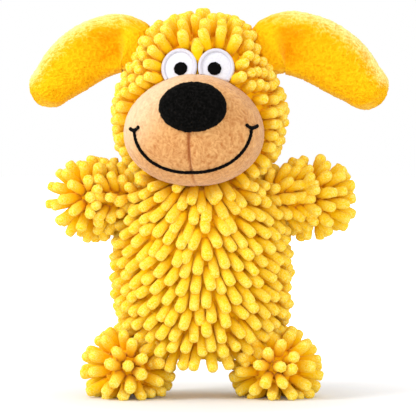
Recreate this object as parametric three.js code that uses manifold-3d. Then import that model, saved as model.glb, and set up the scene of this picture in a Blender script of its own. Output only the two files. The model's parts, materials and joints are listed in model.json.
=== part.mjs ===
// Squeaky plush dog toy: a stuffed dog sewn from chenille noodle fabric, with pile-fabric ears and muzzle,
// felt eyes, a stitched smile and a reed squeaker between the two wads of its belly.
// Millimetres, +Z up. The face looks along -Y, so the dog's own left is +X.

import * as THREE from "three";
import { mergeVertices } from "three/addons/utils/BufferGeometryUtils.js";
import Module from "manifold-3d";

const wasm = await Module();
wasm.setup();

// Cloth and sewing
const FABRIC = 1.6; // thickness of the backing cloth of every cover
const SEAM_GAP = 0.4; // between two pieces that meet at a seam
const FIT_GAP = 0.3; // between a piece and what it sits on or in

// Noodles: round chenille tufts, drawn as three-sided rods with a blunt point
const NOODLE_RADIUS = 3.5;
const NOODLE_LENGTH = 18; // from the cloth to the tip
const PAW_NOODLE_LENGTH = 16.5; // on the arms and legs
const NOODLE_PITCH = 10.9; // between neighbours in a row, where the row is on the torso or the head
const NOODLE_ROW = 10.8; // from one row to the next there
const PAW_NOODLE_PITCH = 9.6;
const PAW_NOODLE_ROW = 9.4;
const NOODLE_SIDES = 3;
const NOODLE_CORNER = NOODLE_RADIUS * 1.3; // corner radius of the rod that stands for the round tuft
const NOODLE_TIP = NOODLE_RADIUS * 0.9; // height of the blunt point
const NOODLE_ROOT = FABRIC * 0.5; // how deep a noodle is stitched into its backing
const NOODLE_SPACE = NOODLE_CORNER * 1.8; // least distance between the middles of two noodles
const NOODLE_CLEAR = 1.2; // least air between a noodle and a piece that moves past it

// Torso: a bag that is squarer than an ellipsoid, closed at the neck seam
const TORSO_WIDTH = 96;
const TORSO_DEPTH = 68;
const TORSO_HEIGHT = 134; // of the whole bag, part of which the neck seam takes off
const TORSO_SQUARENESS = 2.8;
const NECK_CUT = 8; // taken off the top of the torso by the neck seam
const BELLY_WIDTH = 78; // oval front panel that gives when the belly is squeezed
const BELLY_HEIGHT = 112;
const BELLY_RISE = 62; // from the bottom of the torso to the middle of the belly panel
const BELLY_PRESS = 10; // how far the belly panel goes in

// Legs: a foot on the floor and a short stub up to the hip
const LEG_LENGTH = 44; // from the floor to the hip
const HIP_RISE = 18; // from the bottom of the torso to the hip
const HIP_SPACING = 74;
const FOOT_SPACING = 102;
const FOOT_FORWARD = 8; // the middle of the foot, ahead of the hip
const FOOT_WIDTH = 34;
const FOOT_HEIGHT = 34;
const FOOT_DEPTH = 42;
const FOOT_SQUARENESS = 3;
const SOLE_CUT = 0.5; // taken off the round underside, for a flat sole
const HIP_RADIUS = 11; // round end of the leg, tucked into a dimple of the torso
const LEG_STUB_RADIUS = 12; // of the leg where it meets the foot
const HIP_PINCH = 0.75; // share of the hip's radius that the leg is drawn in to, just below the hip
const LEG_SWING = 20; // degrees forward and back

// Arms: straight out from the shoulders, thicker at the paw
const SHOULDER_DROP = 14; // from the neck seam down to the shoulder
const ARM_LENGTH = 50; // from the side of the torso to the end of the paw, without noodles
const ARM_ROOT_RADIUS = 8;
const PAW_RADIUS = 14;
const ARM_RAISE = 12; // degrees up and down
const ARM_LOWER = 30;

// Head
const HEAD_WIDTH = 98;
const HEAD_DEPTH = 84;
const HEAD_HEIGHT = 112; // of the whole bag, part of which the neck seam takes off
const HEAD_SQUARENESS = 2.3;
const HEAD_RISE = 46; // from the neck seam to the middle of the head
const HEAD_REST_TURN = 5; // degrees towards the dog's right, as the head sits
const HEAD_SWING = 15; // degrees that the head turns either way from there

// Muzzle, nose, smile and eyes, placed from the neck seam up and from the neck's axis forward
const MUZZLE_WIDTH = 96.8;
const MUZZLE_HEIGHT = 77.6;
const MUZZLE_DEPTH = 80;
const MUZZLE_SQUARENESS = 2.25;
const MUZZLE_RISE = 33.5;
const MUZZLE_FORWARD = 36;
const MUZZLE_JOWL = 0.06; // share by which the lower half is wider than the upper
const NOSE_WIDTH = 46.4;
const NOSE_HEIGHT = 35.5;
const NOSE_DEPTH = 24;
const NOSE_RISE = 50;
const NOSE_TILT = 20; // degrees that the nose looks up
const NOSE_SINK = 3; // how far the middle of the nose lies under the muzzle's surface
const EYE_WIDTH = 24.6;
const EYE_HEIGHT = 27;
const EYE_THICKNESS = 2.2;
const EYE_RISE = 77;
const EYE_TILT = 20; // degrees that the eyes look up
const EYE_SPLAY = 9; // degrees that each eye looks outwards
const EYE_GAP = 0.8; // between the two eyes
const RIM_WIDTH = 2.2; // satin-stitched border
const RIM_HEIGHT = 1.1;
const PUPIL_RADIUS = 4.5;
const PUPIL_THICKNESS = 1.1;
const PUPIL_INWARD = 1.2; // of the middle of the eye
const PUPIL_DROP = 2;
const THREAD_RADIUS = 0.85; // the smile's cord of stitches
const SMILE_HALF_WIDTH = 40; // from the centre seam to a corner of the mouth
const SMILE_CORNER_RISE = 34; // of a corner, above the neck seam
const SMILE_DROP = 31; // from the corners down to the middle of the smile
const SMILE_TICK = 9; // length of the short stroke across each corner

// Ears: flat sausages of pile fabric that rise from the head and bend over
const EAR_LENGTH = 104; // along the bend, from the seam to the tip
const EAR_WIDTH = 40;
const EAR_ROOT_WIDTH = 18;
const EAR_THICKNESS = 20;
const EAR_BEND_RADIUS = 40;
const EAR_BEND = 89; // degrees that the ear bends over, before it hangs straight
const EAR_HEADING = 45; // degrees above level at the seam
const EAR_ANGLE = 42.5; // of the seam round the head, in degrees above level
const EAR_BACK = 4; // of the seam, behind the middle of the head
const EAR_LIFT = 25; // degrees up and down
const EAR_DROOP = 20;

// Squeaker: a soft bulb with a reed clamped in its neck
const BULB_DIAMETER = 46;
const BULB_DEPTH = 26;
const BULB_WALL = 1;
const BULB_RISE = 60; // from the bottom of the torso
const BULB_FORWARD = 3; // of the neck's axis
const BULB_NECK_RADIUS = 5; // bore of the neck
const BULB_NECK_LENGTH = 9;
const REED_FLANGE_RADIUS = 7.5;
const REED_FLANGE = 1.6;
const REED_THICKNESS = 0.3;
const REED_WIDTH = 5;
const REED_CHANNEL = 2.6; // width of the air channel in each half of the holder

// Facets
const BODY_SEGMENTS = 14; // torso and head, under their noodles
const BODY_RINGS = 7;
const LIMB_SEGMENTS = 8; // arms and legs, under their noodles
const LIMB_RINGS = 6;
const ROUND_SEGMENTS = 18; // muzzle
const EAR_SEGMENTS = 12;
const SMALL_SEGMENTS = 14;
const RINGS = 8;

// Heights that follow from the sizes above
const TORSO_BOTTOM = LEG_LENGTH - HIP_RISE;
const TORSO_MIDDLE = TORSO_BOTTOM + TORSO_HEIGHT / 2;
const NECK = TORSO_BOTTOM + TORSO_HEIGHT - NECK_CUT;
const SHOULDER = NECK - SHOULDER_DROP;
const BELLY_MIDDLE = TORSO_BOTTOM + BELLY_RISE;
const LINING = FABRIC + FIT_GAP; // from the outside of a cover to the stuffing in it
const FAR = 400; // reach of a cutting block, past everything

const rad = THREE.MathUtils.degToRad;
const vec = (x, y, z) => new THREE.Vector3(x, y, z);

// Materials
const cloth = (color, roughness) => new THREE.MeshStandardMaterial({ color, roughness, metalness: 0 });
const noodleYellow = cloth(0xfdd02a, 0.95);
const pileYellow = cloth(0xfcc81c, 0.97);
const muzzleTan = cloth(0xeead6b, 0.97);
const noseBlack = cloth(0x121212, 0.95);
const feltWhite = cloth(0xf1eff2, 0.9);
const rimWhite = cloth(0xfafafc, 0.7);
const threadBlack = cloth(0x0d0d0d, 0.75);
const fibreWhite = cloth(0xf4f2ec, 1);
const bulbPlastic = new THREE.MeshStandardMaterial({ color: 0xe9ecec, roughness: 0.45, metalness: 0 });
const reedPlastic = new THREE.MeshStandardMaterial({ color: 0xd8dcdf, roughness: 0.35, metalness: 0 });
const reedFilm = new THREE.MeshStandardMaterial({ color: 0xb9c2c8, roughness: 0.25, metalness: 0 });

// A closed geometry as a solid that can be joined and cut.
function solid(geometry) {
  const bare = new THREE.BufferGeometry();
  bare.setAttribute("position", geometry.getAttribute("position"));
  if (geometry.index) bare.setIndex(geometry.index);
  const merged = mergeVertices(bare, 1e-4);
  const index = merged.index.array;
  const triangles = [];
  for (let i = 0; i < index.length; i += 3) {
    const [a, b, c] = [index[i], index[i + 1], index[i + 2]];
    if (a !== b && b !== c && c !== a) triangles.push(a, b, c);
  }
  const vertProperties = merged.getAttribute("position").array;
  return new wasm.Manifold(new wasm.Mesh({ numProp: 3, vertProperties, triVerts: new Uint32Array(triangles) }));
}

// A solid back as a geometry.
function geometryOf(made) {
  const { vertProperties, triVerts } = made.getMesh();
  const geometry = new THREE.BufferGeometry();
  geometry.setAttribute("position", new THREE.BufferAttribute(vertProperties, 3));
  geometry.setIndex(new THREE.BufferAttribute(triVerts, 1));
  const facets = geometry.toNonIndexed();
  facets.computeVertexNormals();
  return facets;
}

// A named piece in a group.
function piece(group, name, made, material) {
  const mesh = new THREE.Mesh(geometryOf(made), material);
  mesh.name = name;
  group.add(mesh);
  return mesh;
}

// A group placed in its parent, with its world matrix ready for cutting one group's pieces by another's.
function groupIn(parent, position, rotation = [0, 0, 0]) {
  const group = new THREE.Group();
  group.position.copy(position);
  group.rotation.set(...rotation);
  parent.add(group);
  group.updateWorldMatrix(true, false);
  return group;
}

// A solid of one group as it lies in another group's frame.
function seenFrom(made, from, to) {
  const matrix = to.matrixWorld.clone().invert().multiply(from.matrixWorld);
  return made.transform(matrix.elements);
}

const moved = (made, x, y, z) => made.translate([x, y, z]);

// A solid turned about a line along X, Y or Z through a point.
function turnedAbout(made, point, degrees) {
  return made.translate([-point.x, -point.y, -point.z]).rotate(degrees).translate(point.toArray());
}

// A large block on one side of a plane that is square to an axis.
function halfSpace(axis, from, sign) {
  const block = new THREE.BoxGeometry(FAR, FAR, FAR);
  const shift = vec(0, 0, 0).setComponent(axis, from + (sign * FAR) / 2);
  return solid(block.translate(shift.x, shift.y, shift.z));
}

// Half-profile of a stuffed bag from its bottom to its top: a superellipse, round for squareness 2.
function bagProfile(radius, height, squareness, rings) {
  return Array.from({ length: rings + 1 }, (_, i) => {
    const t = -Math.PI / 2 + (Math.PI * i) / rings;
    const out = i === 0 || i === rings ? 0 : Math.cos(t) ** (2 / squareness);
    const up = Math.sign(Math.sin(t)) * Math.abs(Math.sin(t)) ** (2 / squareness);
    return new THREE.Vector2(radius * out, (height / 2) * up);
  });
}

// Half-profile of an arm from inside the torso to the end of the paw.
function armProfile(inset, rings) {
  const paw = PAW_RADIUS - inset;
  const root = ARM_ROOT_RADIUS - inset;
  const end = ARM_LENGTH - inset;
  const start = -ARM_ROOT_RADIUS;
  const points = [new THREE.Vector2(0, start)];
  for (let i = 0; i <= rings; i++) {
    const s = start + ((end - start) * i) / rings;
    const swell = THREE.MathUtils.smoothstep(s, 0, ARM_LENGTH * 0.6);
    const tip = Math.max(0, (s - (end - paw)) / paw);
    points.push(new THREE.Vector2((root + (paw - root) * swell) * Math.sqrt(Math.max(0, 1 - tip * tip)), s));
  }
  points[points.length - 1].x = 0;
  return points;
}

// A profile turned round Z and flattened along Y.
function revolved(profile, flatten, segments) {
  return new THREE.LatheGeometry(profile, segments).rotateX(Math.PI / 2).scale(1, flatten, 1);
}

// Points at even steps along a line of points, counted from a fraction of a step in. Their number is a
// multiple of the last value.
function evenly(points, step, offset, multiple = 1) {
  const lengths = [0];
  for (let i = 1; i < points.length; i++) lengths.push(lengths[i - 1] + points[i].distanceTo(points[i - 1]));
  const total = lengths[lengths.length - 1];
  const count = multiple * Math.max(1, Math.floor(total / step / multiple));
  return Array.from({ length: count }, (_, k) => {
    const at = (total * (k + offset)) / count;
    const i = Math.min(points.length - 2, Math.max(0, lengths.findIndex((l) => l > at) - 1));
    const share = (at - lengths[i]) / (lengths[i + 1] - lengths[i]);
    return { point: points[i].clone().lerp(points[i + 1], share), before: points[i], after: points[i + 1] };
  });
}

// Noodles in rows round a revolved bag's axis, each row half a pitch out of step with the one before.
// lean(point, normal) says where a noodle hangs, and wanted(noodle) whether it is clear of its neighbours.
function noodleRows({ profile, flatten, segments, pitch, row, length, lean, wanted }) {
  const noodles = [];
  evenly(profile, row, 0.5).forEach(({ point: ring, before, after }, i) => {
    const slope = after.clone().sub(before).normalize();
    const outline = Array.from({ length: segments + 1 }, (_, k) => {
      const angle = -Math.PI / 2 + (2 * Math.PI * k) / segments;
      return vec(ring.x * Math.cos(angle), flatten * ring.x * Math.sin(angle), ring.y);
    });
    for (const { point: base } of evenly(outline, pitch, i % 2 ? 0.5 : 0, 2)) {
      const around = Math.atan2(base.y / flatten, base.x);
      const normal = vec(
        flatten * slope.y * Math.cos(around),
        slope.y * Math.sin(around),
        -flatten * slope.x,
      ).normalize();
      noodles.push(hung({ base, normal, length }, lean));
    }
  });
  return uncrossed(noodles.filter(wanted));
}

// Noodles without those that would cross one before them.
function uncrossed(noodles) {
  const kept = [];
  for (const noodle of noodles) {
    const samples = samplesOf(noodle);
    const crosses = kept.some((other) => other.some((p) => samples.some((q) => p.distanceTo(q) < NOODLE_SPACE)));
    if (!crosses) kept.push(samples);
    noodle.kept = !crosses;
  }
  return noodles.filter(({ kept: stays }) => stays);
}

// A noodle with the direction that it hangs in.
function hung({ base, normal, length }, lean) {
  return { base, normal, length, direction: normal.clone().add(lean(base, normal)).normalize() };
}

// A noodle as it lies in another frame.
function carried({ base, normal, direction, length }, matrix) {
  return {
    base: base.clone().applyMatrix4(matrix),
    normal: normal.clone().transformDirection(matrix),
    direction: direction.clone().transformDirection(matrix),
    length,
  };
}

// Points along a noodle, from its root to its tip.
function samplesOf({ base, direction, length }) {
  return [0.15, 0.3, 0.5, 0.7, 1].map((share) => base.clone().addScaledVector(direction, share * length));
}

// The rod of one noodle. Its root is cut off along the cloth, so that it lies inside the cloth's thickness.
function noodleSolid({ base, normal, direction, length }) {
  const upright = direction.dot(normal);
  const root = NOODLE_ROOT / upright;
  const profile = [
    new THREE.Vector2(0, -root),
    new THREE.Vector2(NOODLE_CORNER, -root),
    new THREE.Vector2(NOODLE_CORNER, length - NOODLE_TIP),
    new THREE.Vector2(0, length),
  ];
  const rod = new THREE.LatheGeometry(profile, NOODLE_SIDES);
  const along = direction.clone().addScaledVector(normal, -upright);
  if (along.length() < 1e-6) along.set(normal.z, normal.x, normal.y).cross(normal);
  along.normalize();
  const across = along.clone().cross(normal);
  const skewed = new THREE.Matrix4().makeBasis(along.divideScalar(upright), direction, across);
  return solid(rod.applyMatrix4(skewed.setPosition(base)));
}

// A cover with its noodles, as one solid.
function covered(cover, noodles) {
  return wasm.Manifold.union([cover, ...noodles.map(noodleSolid)]);
}

// Whether a point is inside an ellipsoid grown on every side.
function inEllipsoid(point, middle, radii, grown) {
  const d = point.clone().sub(middle);
  return (d.x / (radii.x + grown)) ** 2 + (d.y / (radii.y + grown)) ** 2 + (d.z / (radii.z + grown)) ** 2 < 1;
}

const NOODLE_ROOM = NOODLE_CORNER + NOODLE_CLEAR;

// The scene: the torso carries the belly panel, the head, the arms and the legs, and the head carries the ears.
const toy = new THREE.Group();
const torso = groupIn(toy, vec(0, 0, 0));
const head = groupIn(toy, vec(0, 0, NECK), [0, 0, -rad(HEAD_REST_TURN)]);

// Torso: the bag, its back panel with the sides, its belly panel, and two wads with the squeaker between them
const torsoBag = (inset) => {
  const profile = bagProfile(TORSO_WIDTH / 2 - inset, TORSO_HEIGHT - 2 * inset, TORSO_SQUARENESS, BODY_RINGS);
  const flatten = (TORSO_DEPTH / 2 - inset) / (TORSO_WIDTH / 2 - inset);
  return moved(solid(revolved(profile, flatten, BODY_SEGMENTS)), 0, 0, TORSO_MIDDLE);
};

// The round end of a leg, and the dimple that it turns in. Both are turned about X, the line that the leg swings on.
const hipEnd = (inset) => {
  const profile = bagProfile(HIP_RADIUS - inset, 2 * (HIP_RADIUS - inset), 2, LIMB_RINGS);
  return solid(revolved(profile, 1, SMALL_SEGMENTS)).rotate([0, 90, 0]);
};
const hipDimple = () => hipEnd(-FIT_GAP - HIP_RADIUS * (1 - Math.cos(Math.PI / SMALL_SEGMENTS)));
const torsoOuter = torsoBag(0);
const torsoGrown = torsoBag(-FIT_GAP);

// Half-width of the torso at a height, as a share of its widest.
function torsoSwell(z) {
  const up = Math.min(1, Math.abs(z - TORSO_MIDDLE) / (TORSO_HEIGHT / 2));
  return (1 - up ** TORSO_SQUARENESS) ** (1 / TORSO_SQUARENESS);
}
const SHOULDER_X = (TORSO_WIDTH / 2) * torsoSwell(SHOULDER);

const PAW_CENTRE_X = SHOULDER_X + ARM_LENGTH - PAW_RADIUS;
const PAW_REACH = PAW_RADIUS + PAW_NOODLE_LENGTH;
const FOOT_CENTRE_Z = FOOT_HEIGHT / 2 - SOLE_CUT;

// Whether a point is inside the torso's bag grown on every side.
function inTorso(point, grown) {
  const out = Math.hypot(point.x / (TORSO_WIDTH / 2 + grown), point.y / (TORSO_DEPTH / 2 + grown));
  const up = Math.abs(point.z - TORSO_MIDDLE) / (TORSO_HEIGHT / 2 + grown);
  return out ** TORSO_SQUARENESS + up ** TORSO_SQUARENESS < 1;
}

// Room that the limbs sweep through, as ellipsoids about the paws and feet.
const armSwing = (PAW_CENTRE_X - SHOULDER_X) * Math.sin(rad(ARM_LOWER));
const legSwing = (LEG_LENGTH - FOOT_CENTRE_Z) * Math.sin(rad(LEG_SWING));
const limbRooms = [-1, 1].flatMap((side) => [
  { middle: vec(side * PAW_CENTRE_X, 0, SHOULDER - armSwing / 4), radii: vec(PAW_REACH, PAW_REACH, PAW_REACH + armSwing / 2) },
  {
    middle: vec((side * FOOT_SPACING) / 2, -FOOT_FORWARD, FOOT_CENTRE_Z),
    radii: vec(
      FOOT_WIDTH / 2 + PAW_NOODLE_LENGTH,
      FOOT_DEPTH / 2 + PAW_NOODLE_LENGTH + legSwing / 2,
      FOOT_HEIGHT / 2 + PAW_NOODLE_LENGTH * 0.7,
    ),
  },
]);

// Leg stubs, from hip to foot
const hips = [-1, 1].map((side) => vec((side * HIP_SPACING) / 2, 0, LEG_LENGTH));
const stubLines = [-1, 1].map((side) => {
  const hip = vec((side * HIP_SPACING) / 2, 0, LEG_LENGTH);
  return new THREE.Line3(hip, vec((side * FOOT_SPACING) / 2, -FOOT_FORWARD, FOOT_CENTRE_Z));
});
const STUB_ROOM = LEG_STUB_RADIUS * (1 + Math.sin(rad(LEG_SWING)) / 2) + NOODLE_ROOM;
const offStubs = (p) => stubLines.every((line) => line.closestPointToPoint(p, true, vec(0, 0, 0)).distanceTo(p) > STUB_ROOM);

const CHIN_BOTTOM = NECK + MUZZLE_RISE - MUZZLE_HEIGHT / 2;
const CHIN_BACK = 26; // of the part of the chin that hangs below the neck seam, ahead of the neck's axis

// A noodle of the torso stays below the neck seam, out of the chin's path and out of the limbs' room.
function clearOfTorsoNeighbours(samples) {
  return samples.every((p) => {
    const underNeck = p.z < NECK - NOODLE_ROOM;
    const underChin = p.y > -CHIN_BACK || p.z < CHIN_BOTTOM - NOODLE_ROOM;
    const pastLimbs = limbRooms.every(({ middle, radii }) => !inEllipsoid(p, middle, radii, NOODLE_ROOM));
    const offFloor = p.z > NOODLE_ROOM;
    return underNeck && underChin && pastLimbs && offFloor && offStubs(p);
  });
}

// Torso noodles stand out at the sides and hang more the further they are to the front or back.
const torsoLean = (base, normal) => vec(0, 0, -(0.2 + 0.65 * Math.abs(normal.y)));

// How far out of the belly's oval a point of the torso lies: 1 on its seam.
const bellyMeasure = (p) => Math.hypot(p.x / (BELLY_WIDTH / 2), (p.z - BELLY_MIDDLE) / (BELLY_HEIGHT / 2));

function makeTorso() {
  const torsoLow = halfSpace(2, NECK, -1);
  const dimples = hips.map((hip) => hipDimple().translate(hip.toArray()));
  const [leftDimple, rightDimple] = dimples;
  const hipless = (made) => made.subtract(leftDimple).subtract(rightDimple);
  const shell = hipless(torsoOuter.subtract(torsoBag(FABRIC)).intersect(torsoLow));
  const oval = (inset) => {
    const shape = new THREE.Shape().absellipse(0, 0, BELLY_WIDTH / 2 - inset, BELLY_HEIGHT / 2 - inset, 0, 2 * Math.PI);
    const block = new THREE.ExtrudeGeometry(shape, { depth: FAR, curveSegments: ROUND_SEGMENTS / 2, bevelEnabled: false });
    return solid(block.rotateX(Math.PI / 2).translate(0, 0, BELLY_MIDDLE));
  };
  const bellyCloth = shell.intersect(oval(SEAM_GAP / 2));
  const backCloth = shell.subtract(oval(-SEAM_GAP / 2));

  const bag = bagProfile(TORSO_WIDTH / 2, TORSO_HEIGHT, TORSO_SQUARENESS, BODY_RINGS);
  const noodles = noodleRows({
    profile: bag.map((p) => new THREE.Vector2(p.x, p.y + TORSO_MIDDLE)),
    flatten: TORSO_DEPTH / TORSO_WIDTH,
    segments: BODY_SEGMENTS,
    pitch: NOODLE_PITCH,
    row: NOODLE_ROW,
    length: NOODLE_LENGTH,
    lean: torsoLean,
    wanted: (noodle) => clearOfTorsoNeighbours(samplesOf(noodle)),
  });
  const margin = NOODLE_ROOM / (BELLY_WIDTH / 2);
  const pressed = (p) => p.clone().add(vec(0, BELLY_PRESS, 0));
  const givesWay = (noodle) => {
    const sinking = samplesOf(noodle).filter((p) => noodle.base.y - p.y < BELLY_PRESS + NOODLE_CORNER);
    const inSeam = [noodle.base, ...sinking].every((p) => bellyMeasure(p) < 1 - margin);
    return inSeam && clearOfTorsoNeighbours(samplesOf(noodle).map(pressed));
  };
  const onBelly = noodles.filter((noodle) => noodle.base.y < 0 && givesWay(noodle));
  const onBack = noodles.filter(({ base }) => base.y >= 0 || bellyMeasure(base) > 1 + margin);
  piece(torso, "torso_front_panel", covered(bellyCloth, onBelly), noodleYellow);
  piece(torso, "torso_back_panel", covered(backCloth, onBack), noodleYellow);

  const fill = hipless(torsoBag(LINING).intersect(torsoLow)).subtract(squeakerRoom());
  piece(torso, "belly_wadding", fill.intersect(halfSpace(1, -BULB_FORWARD - FIT_GAP / 2, -1)), fibreWhite);
  piece(torso, "back_wadding", fill.intersect(halfSpace(1, -BULB_FORWARD + FIT_GAP / 2, 1)), fibreWhite);
}

// Squeaker: the bulb lies flat between the wads, and its neck with the reed holder points to the back
const bulbHalf = BULB_DEPTH / 2;
const neckEnd = bulbHalf + BULB_NECK_LENGTH;
const squeaker = groupIn(torso, vec(0, -BULB_FORWARD, TORSO_BOTTOM + BULB_RISE), [-Math.PI / 2, 0, 0]);

function bulbProfile(inset, neckRadius) {
  const bag = bagProfile(BULB_DIAMETER / 2 - inset, BULB_DEPTH - 2 * inset, 2.4, RINGS);
  const round = bag.filter((p) => p.y < 0 || p.x > neckRadius + 1);
  return [...round, new THREE.Vector2(neckRadius, bulbHalf - inset), new THREE.Vector2(neckRadius, neckEnd)];
}

// The pocket that the squeaker lies in.
function squeakerRoom() {
  const pocket = [...bulbProfile(-FIT_GAP, REED_FLANGE_RADIUS + FIT_GAP)];
  pocket[pocket.length - 1].y = neckEnd + REED_FLANGE + FIT_GAP;
  pocket.push(new THREE.Vector2(0, neckEnd + REED_FLANGE + FIT_GAP));
  return seenFrom(solid(revolved(pocket, 1, SMALL_SEGMENTS)), squeaker, torso);
}

function makeSqueaker() {
  const outside = bulbProfile(0, BULB_NECK_RADIUS + BULB_WALL);
  const inside = bulbProfile(BULB_WALL, BULB_NECK_RADIUS).reverse();
  piece(squeaker, "squeaker_bulb", solid(revolved([...outside, ...inside], 1, SMALL_SEGMENTS)), bulbPlastic);

  // The reed holder is a flanged plug split lengthwise, with the reed clamped between its halves.
  const plugRadius = BULB_NECK_RADIUS - FIT_GAP;
  const flangeStart = neckEnd + FIT_GAP;
  const plugProfile = [
    new THREE.Vector2(0, bulbHalf),
    new THREE.Vector2(plugRadius, bulbHalf),
    new THREE.Vector2(plugRadius, flangeStart),
    new THREE.Vector2(REED_FLANGE_RADIUS, flangeStart),
    new THREE.Vector2(REED_FLANGE_RADIUS, flangeStart + REED_FLANGE),
    new THREE.Vector2(0, flangeStart + REED_FLANGE),
  ];
  const channel = new THREE.BoxGeometry(REED_CHANNEL, REED_CHANNEL, FAR);
  const plug = solid(revolved(plugProfile, 1, SMALL_SEGMENTS)).subtract(solid(channel));
  const split = REED_THICKNESS / 2 + FIT_GAP;
  piece(squeaker, "squeaker_reed_base", plug.intersect(halfSpace(1, -split, -1)), reedPlastic);
  piece(squeaker, "squeaker_reed_clamp", plug.intersect(halfSpace(1, split, 1)), reedPlastic);
  const reedLength = neckEnd - bulbHalf;
  const reed = new THREE.BoxGeometry(REED_WIDTH, REED_THICKNESS, reedLength);
  piece(squeaker, "squeaker_reed", solid(reed.translate(0, 0, bulbHalf + reedLength / 2)), reedFilm);
}

// Head: a bag round the line of sight, in a front and a back panel, with the neck seam cut flat
const headBag = (inset) => {
  const profile = bagProfile(HEAD_WIDTH / 2 - inset, HEAD_DEPTH - 2 * inset, HEAD_SQUARENESS, BODY_RINGS);
  const flatten = (HEAD_HEIGHT / 2 - inset) / (HEAD_WIDTH / 2 - inset);
  const bag = revolved(profile, flatten, BODY_SEGMENTS).rotateX(-Math.PI / 2);
  return solid(bag.translate(0, 0, HEAD_RISE));
};
const headOuter = headBag(0);
const headGrown = headBag(-FIT_GAP);

// Distance ahead of the head's middle plane of the head's surface at a place seen from the front.
function headFront(x, z) {
  const out = Math.hypot(x / (HEAD_WIDTH / 2), (z - HEAD_RISE) / (HEAD_HEIGHT / 2));
  return (HEAD_DEPTH / 2) * (1 - out ** HEAD_SQUARENESS) ** (1 / HEAD_SQUARENESS);
}

// The muzzle, eyes and ears in the head's frame, as rooms that noodles keep out of.
const muzzleRoom = {
  middle: vec(0, -MUZZLE_FORWARD, MUZZLE_RISE),
  radii: vec(MUZZLE_WIDTH / 2, MUZZLE_DEPTH / 2, MUZZLE_HEIGHT / 2),
};
const EYE_X = (EYE_WIDTH + EYE_GAP) / 2;

// Whether a point lies before an eye, seen from the front.
function beforeEye(point) {
  const out = (Math.abs(point.x) - EYE_X) / (EYE_WIDTH / 2 + NOODLE_ROOM);
  const up = (point.z - EYE_RISE) / (EYE_HEIGHT / 2 + NOODLE_ROOM);
  return point.y < 0 && Math.hypot(out, up) < 1;
}

// The ear seam lies on the head's surface, at an angle round the line of sight.
const earRootOut = (1 - (EAR_BACK / (HEAD_DEPTH / 2)) ** HEAD_SQUARENESS) ** (1 / HEAD_SQUARENESS);
const EAR_ROOT_X = (HEAD_WIDTH / 2) * earRootOut * Math.cos(rad(EAR_ANGLE));
const EAR_ROOT_Z = HEAD_RISE + (HEAD_HEIGHT / 2) * earRootOut * Math.sin(rad(EAR_ANGLE));

// An ear sweeps a fan in its own plane.
function inEarFan(point) {
  const out = Math.abs(point.x) - EAR_ROOT_X;
  const up = point.z - EAR_ROOT_Z;
  const flat = Math.abs(point.y - EAR_BACK) < EAR_THICKNESS / 2 + NOODLE_ROOM;
  const turn = THREE.MathUtils.radToDeg(Math.atan2(up, out));
  const room = THREE.MathUtils.radToDeg(Math.atan2(EAR_WIDTH / 2 + NOODLE_ROOM, EAR_WIDTH * 0.8));
  const low = EAR_HEADING - 22 - EAR_DROOP - room;
  const high = EAR_HEADING - 8 + EAR_LIFT + room;
  const near = Math.hypot(out, up) < EAR_ROOT_WIDTH / 2 + NOODLE_ROOM;
  return flat && (near || (turn > low && turn < high && Math.hypot(out, up) < EAR_LENGTH));
}

// The head's noodles pass over the raised paws, however far the head is turned.
const raised = rad(ARM_RAISE);
const RAISED_PAW_X = SHOULDER_X + (PAW_CENTRE_X - SHOULDER_X) * Math.cos(raised);
const RAISED_PAW_Z = SHOULDER + (PAW_CENTRE_X - SHOULDER_X) * Math.sin(raised) - NECK;
function overArms(point) {
  return [-1, 0, 1].every((turn) => {
    const p = point.clone().applyAxisAngle(vec(0, 0, 1), rad(turn * HEAD_SWING - HEAD_REST_TURN));
    const paws = [-1, 1].map((side) => vec(side * RAISED_PAW_X, 0, RAISED_PAW_Z));
    return paws.every((paw) => p.distanceTo(paw) > PAW_REACH + NOODLE_ROOM);
  });
}

function clearOfHeadNeighbours(samples) {
  return samples.every((p) => {
    const overNeck = p.z > NOODLE_ROOM;
    const offFace = !inEllipsoid(p, muzzleRoom.middle, muzzleRoom.radii, NOODLE_ROOM);
    return overNeck && offFace && overArms(p) && !beforeEye(p) && !inEarFan(p);
  });
}

// Head noodles fan out from the face, and those behind hang a little.
function headLean(base, normal) {
  const fan = vec(base.x, 0, base.z - MUZZLE_RISE).normalize();
  const front = THREE.MathUtils.smoothstep(-normal.y, -0.4, 0.5);
  return fan.multiplyScalar(0.55 * front).add(vec(0, 0, -0.45 * (1 - front)));
}

function makeHead() {
  const aboveNeck = halfSpace(2, SEAM_GAP, 1);
  const shell = headOuter.subtract(headBag(FABRIC)).intersect(aboveNeck);
  const toHead = new THREE.Matrix4().makeRotationX(-Math.PI / 2).setPosition(0, 0, HEAD_RISE);
  const toBag = toHead.clone().invert();
  const lean = (base, normal) => {
    const there = headLean(base.clone().applyMatrix4(toHead), normal.clone().transformDirection(toHead));
    return there.lengthSq() > 0 ? there.clone().applyQuaternion(new THREE.Quaternion().setFromRotationMatrix(toBag)) : there;
  };
  const noodles = noodleRows({
    profile: bagProfile(HEAD_WIDTH / 2, HEAD_DEPTH, HEAD_SQUARENESS, BODY_RINGS),
    flatten: HEAD_HEIGHT / HEAD_WIDTH,
    segments: BODY_SEGMENTS,
    pitch: NOODLE_PITCH,
    row: NOODLE_ROW,
    length: NOODLE_LENGTH,
    lean,
    wanted: (noodle) => clearOfHeadNeighbours(samplesOf(carried(noodle, toHead))),
  }).map((noodle) => carried(noodle, toHead));
  const room = NOODLE_CORNER + SEAM_GAP;
  const front = noodles.filter(({ base }) => base.y < -room);
  const back = noodles.filter(({ base }) => base.y > room);
  const frontCloth = shell.intersect(halfSpace(1, -SEAM_GAP / 2, -1));
  const backCloth = shell.intersect(halfSpace(1, SEAM_GAP / 2, 1));
  piece(head, "head_front_panel", covered(frontCloth, front), noodleYellow);
  piece(head, "head_back_panel", covered(backCloth, back), noodleYellow);
  piece(head, "head_stuffing", headBag(LINING).intersect(aboveNeck), fibreWhite);
}

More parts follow.
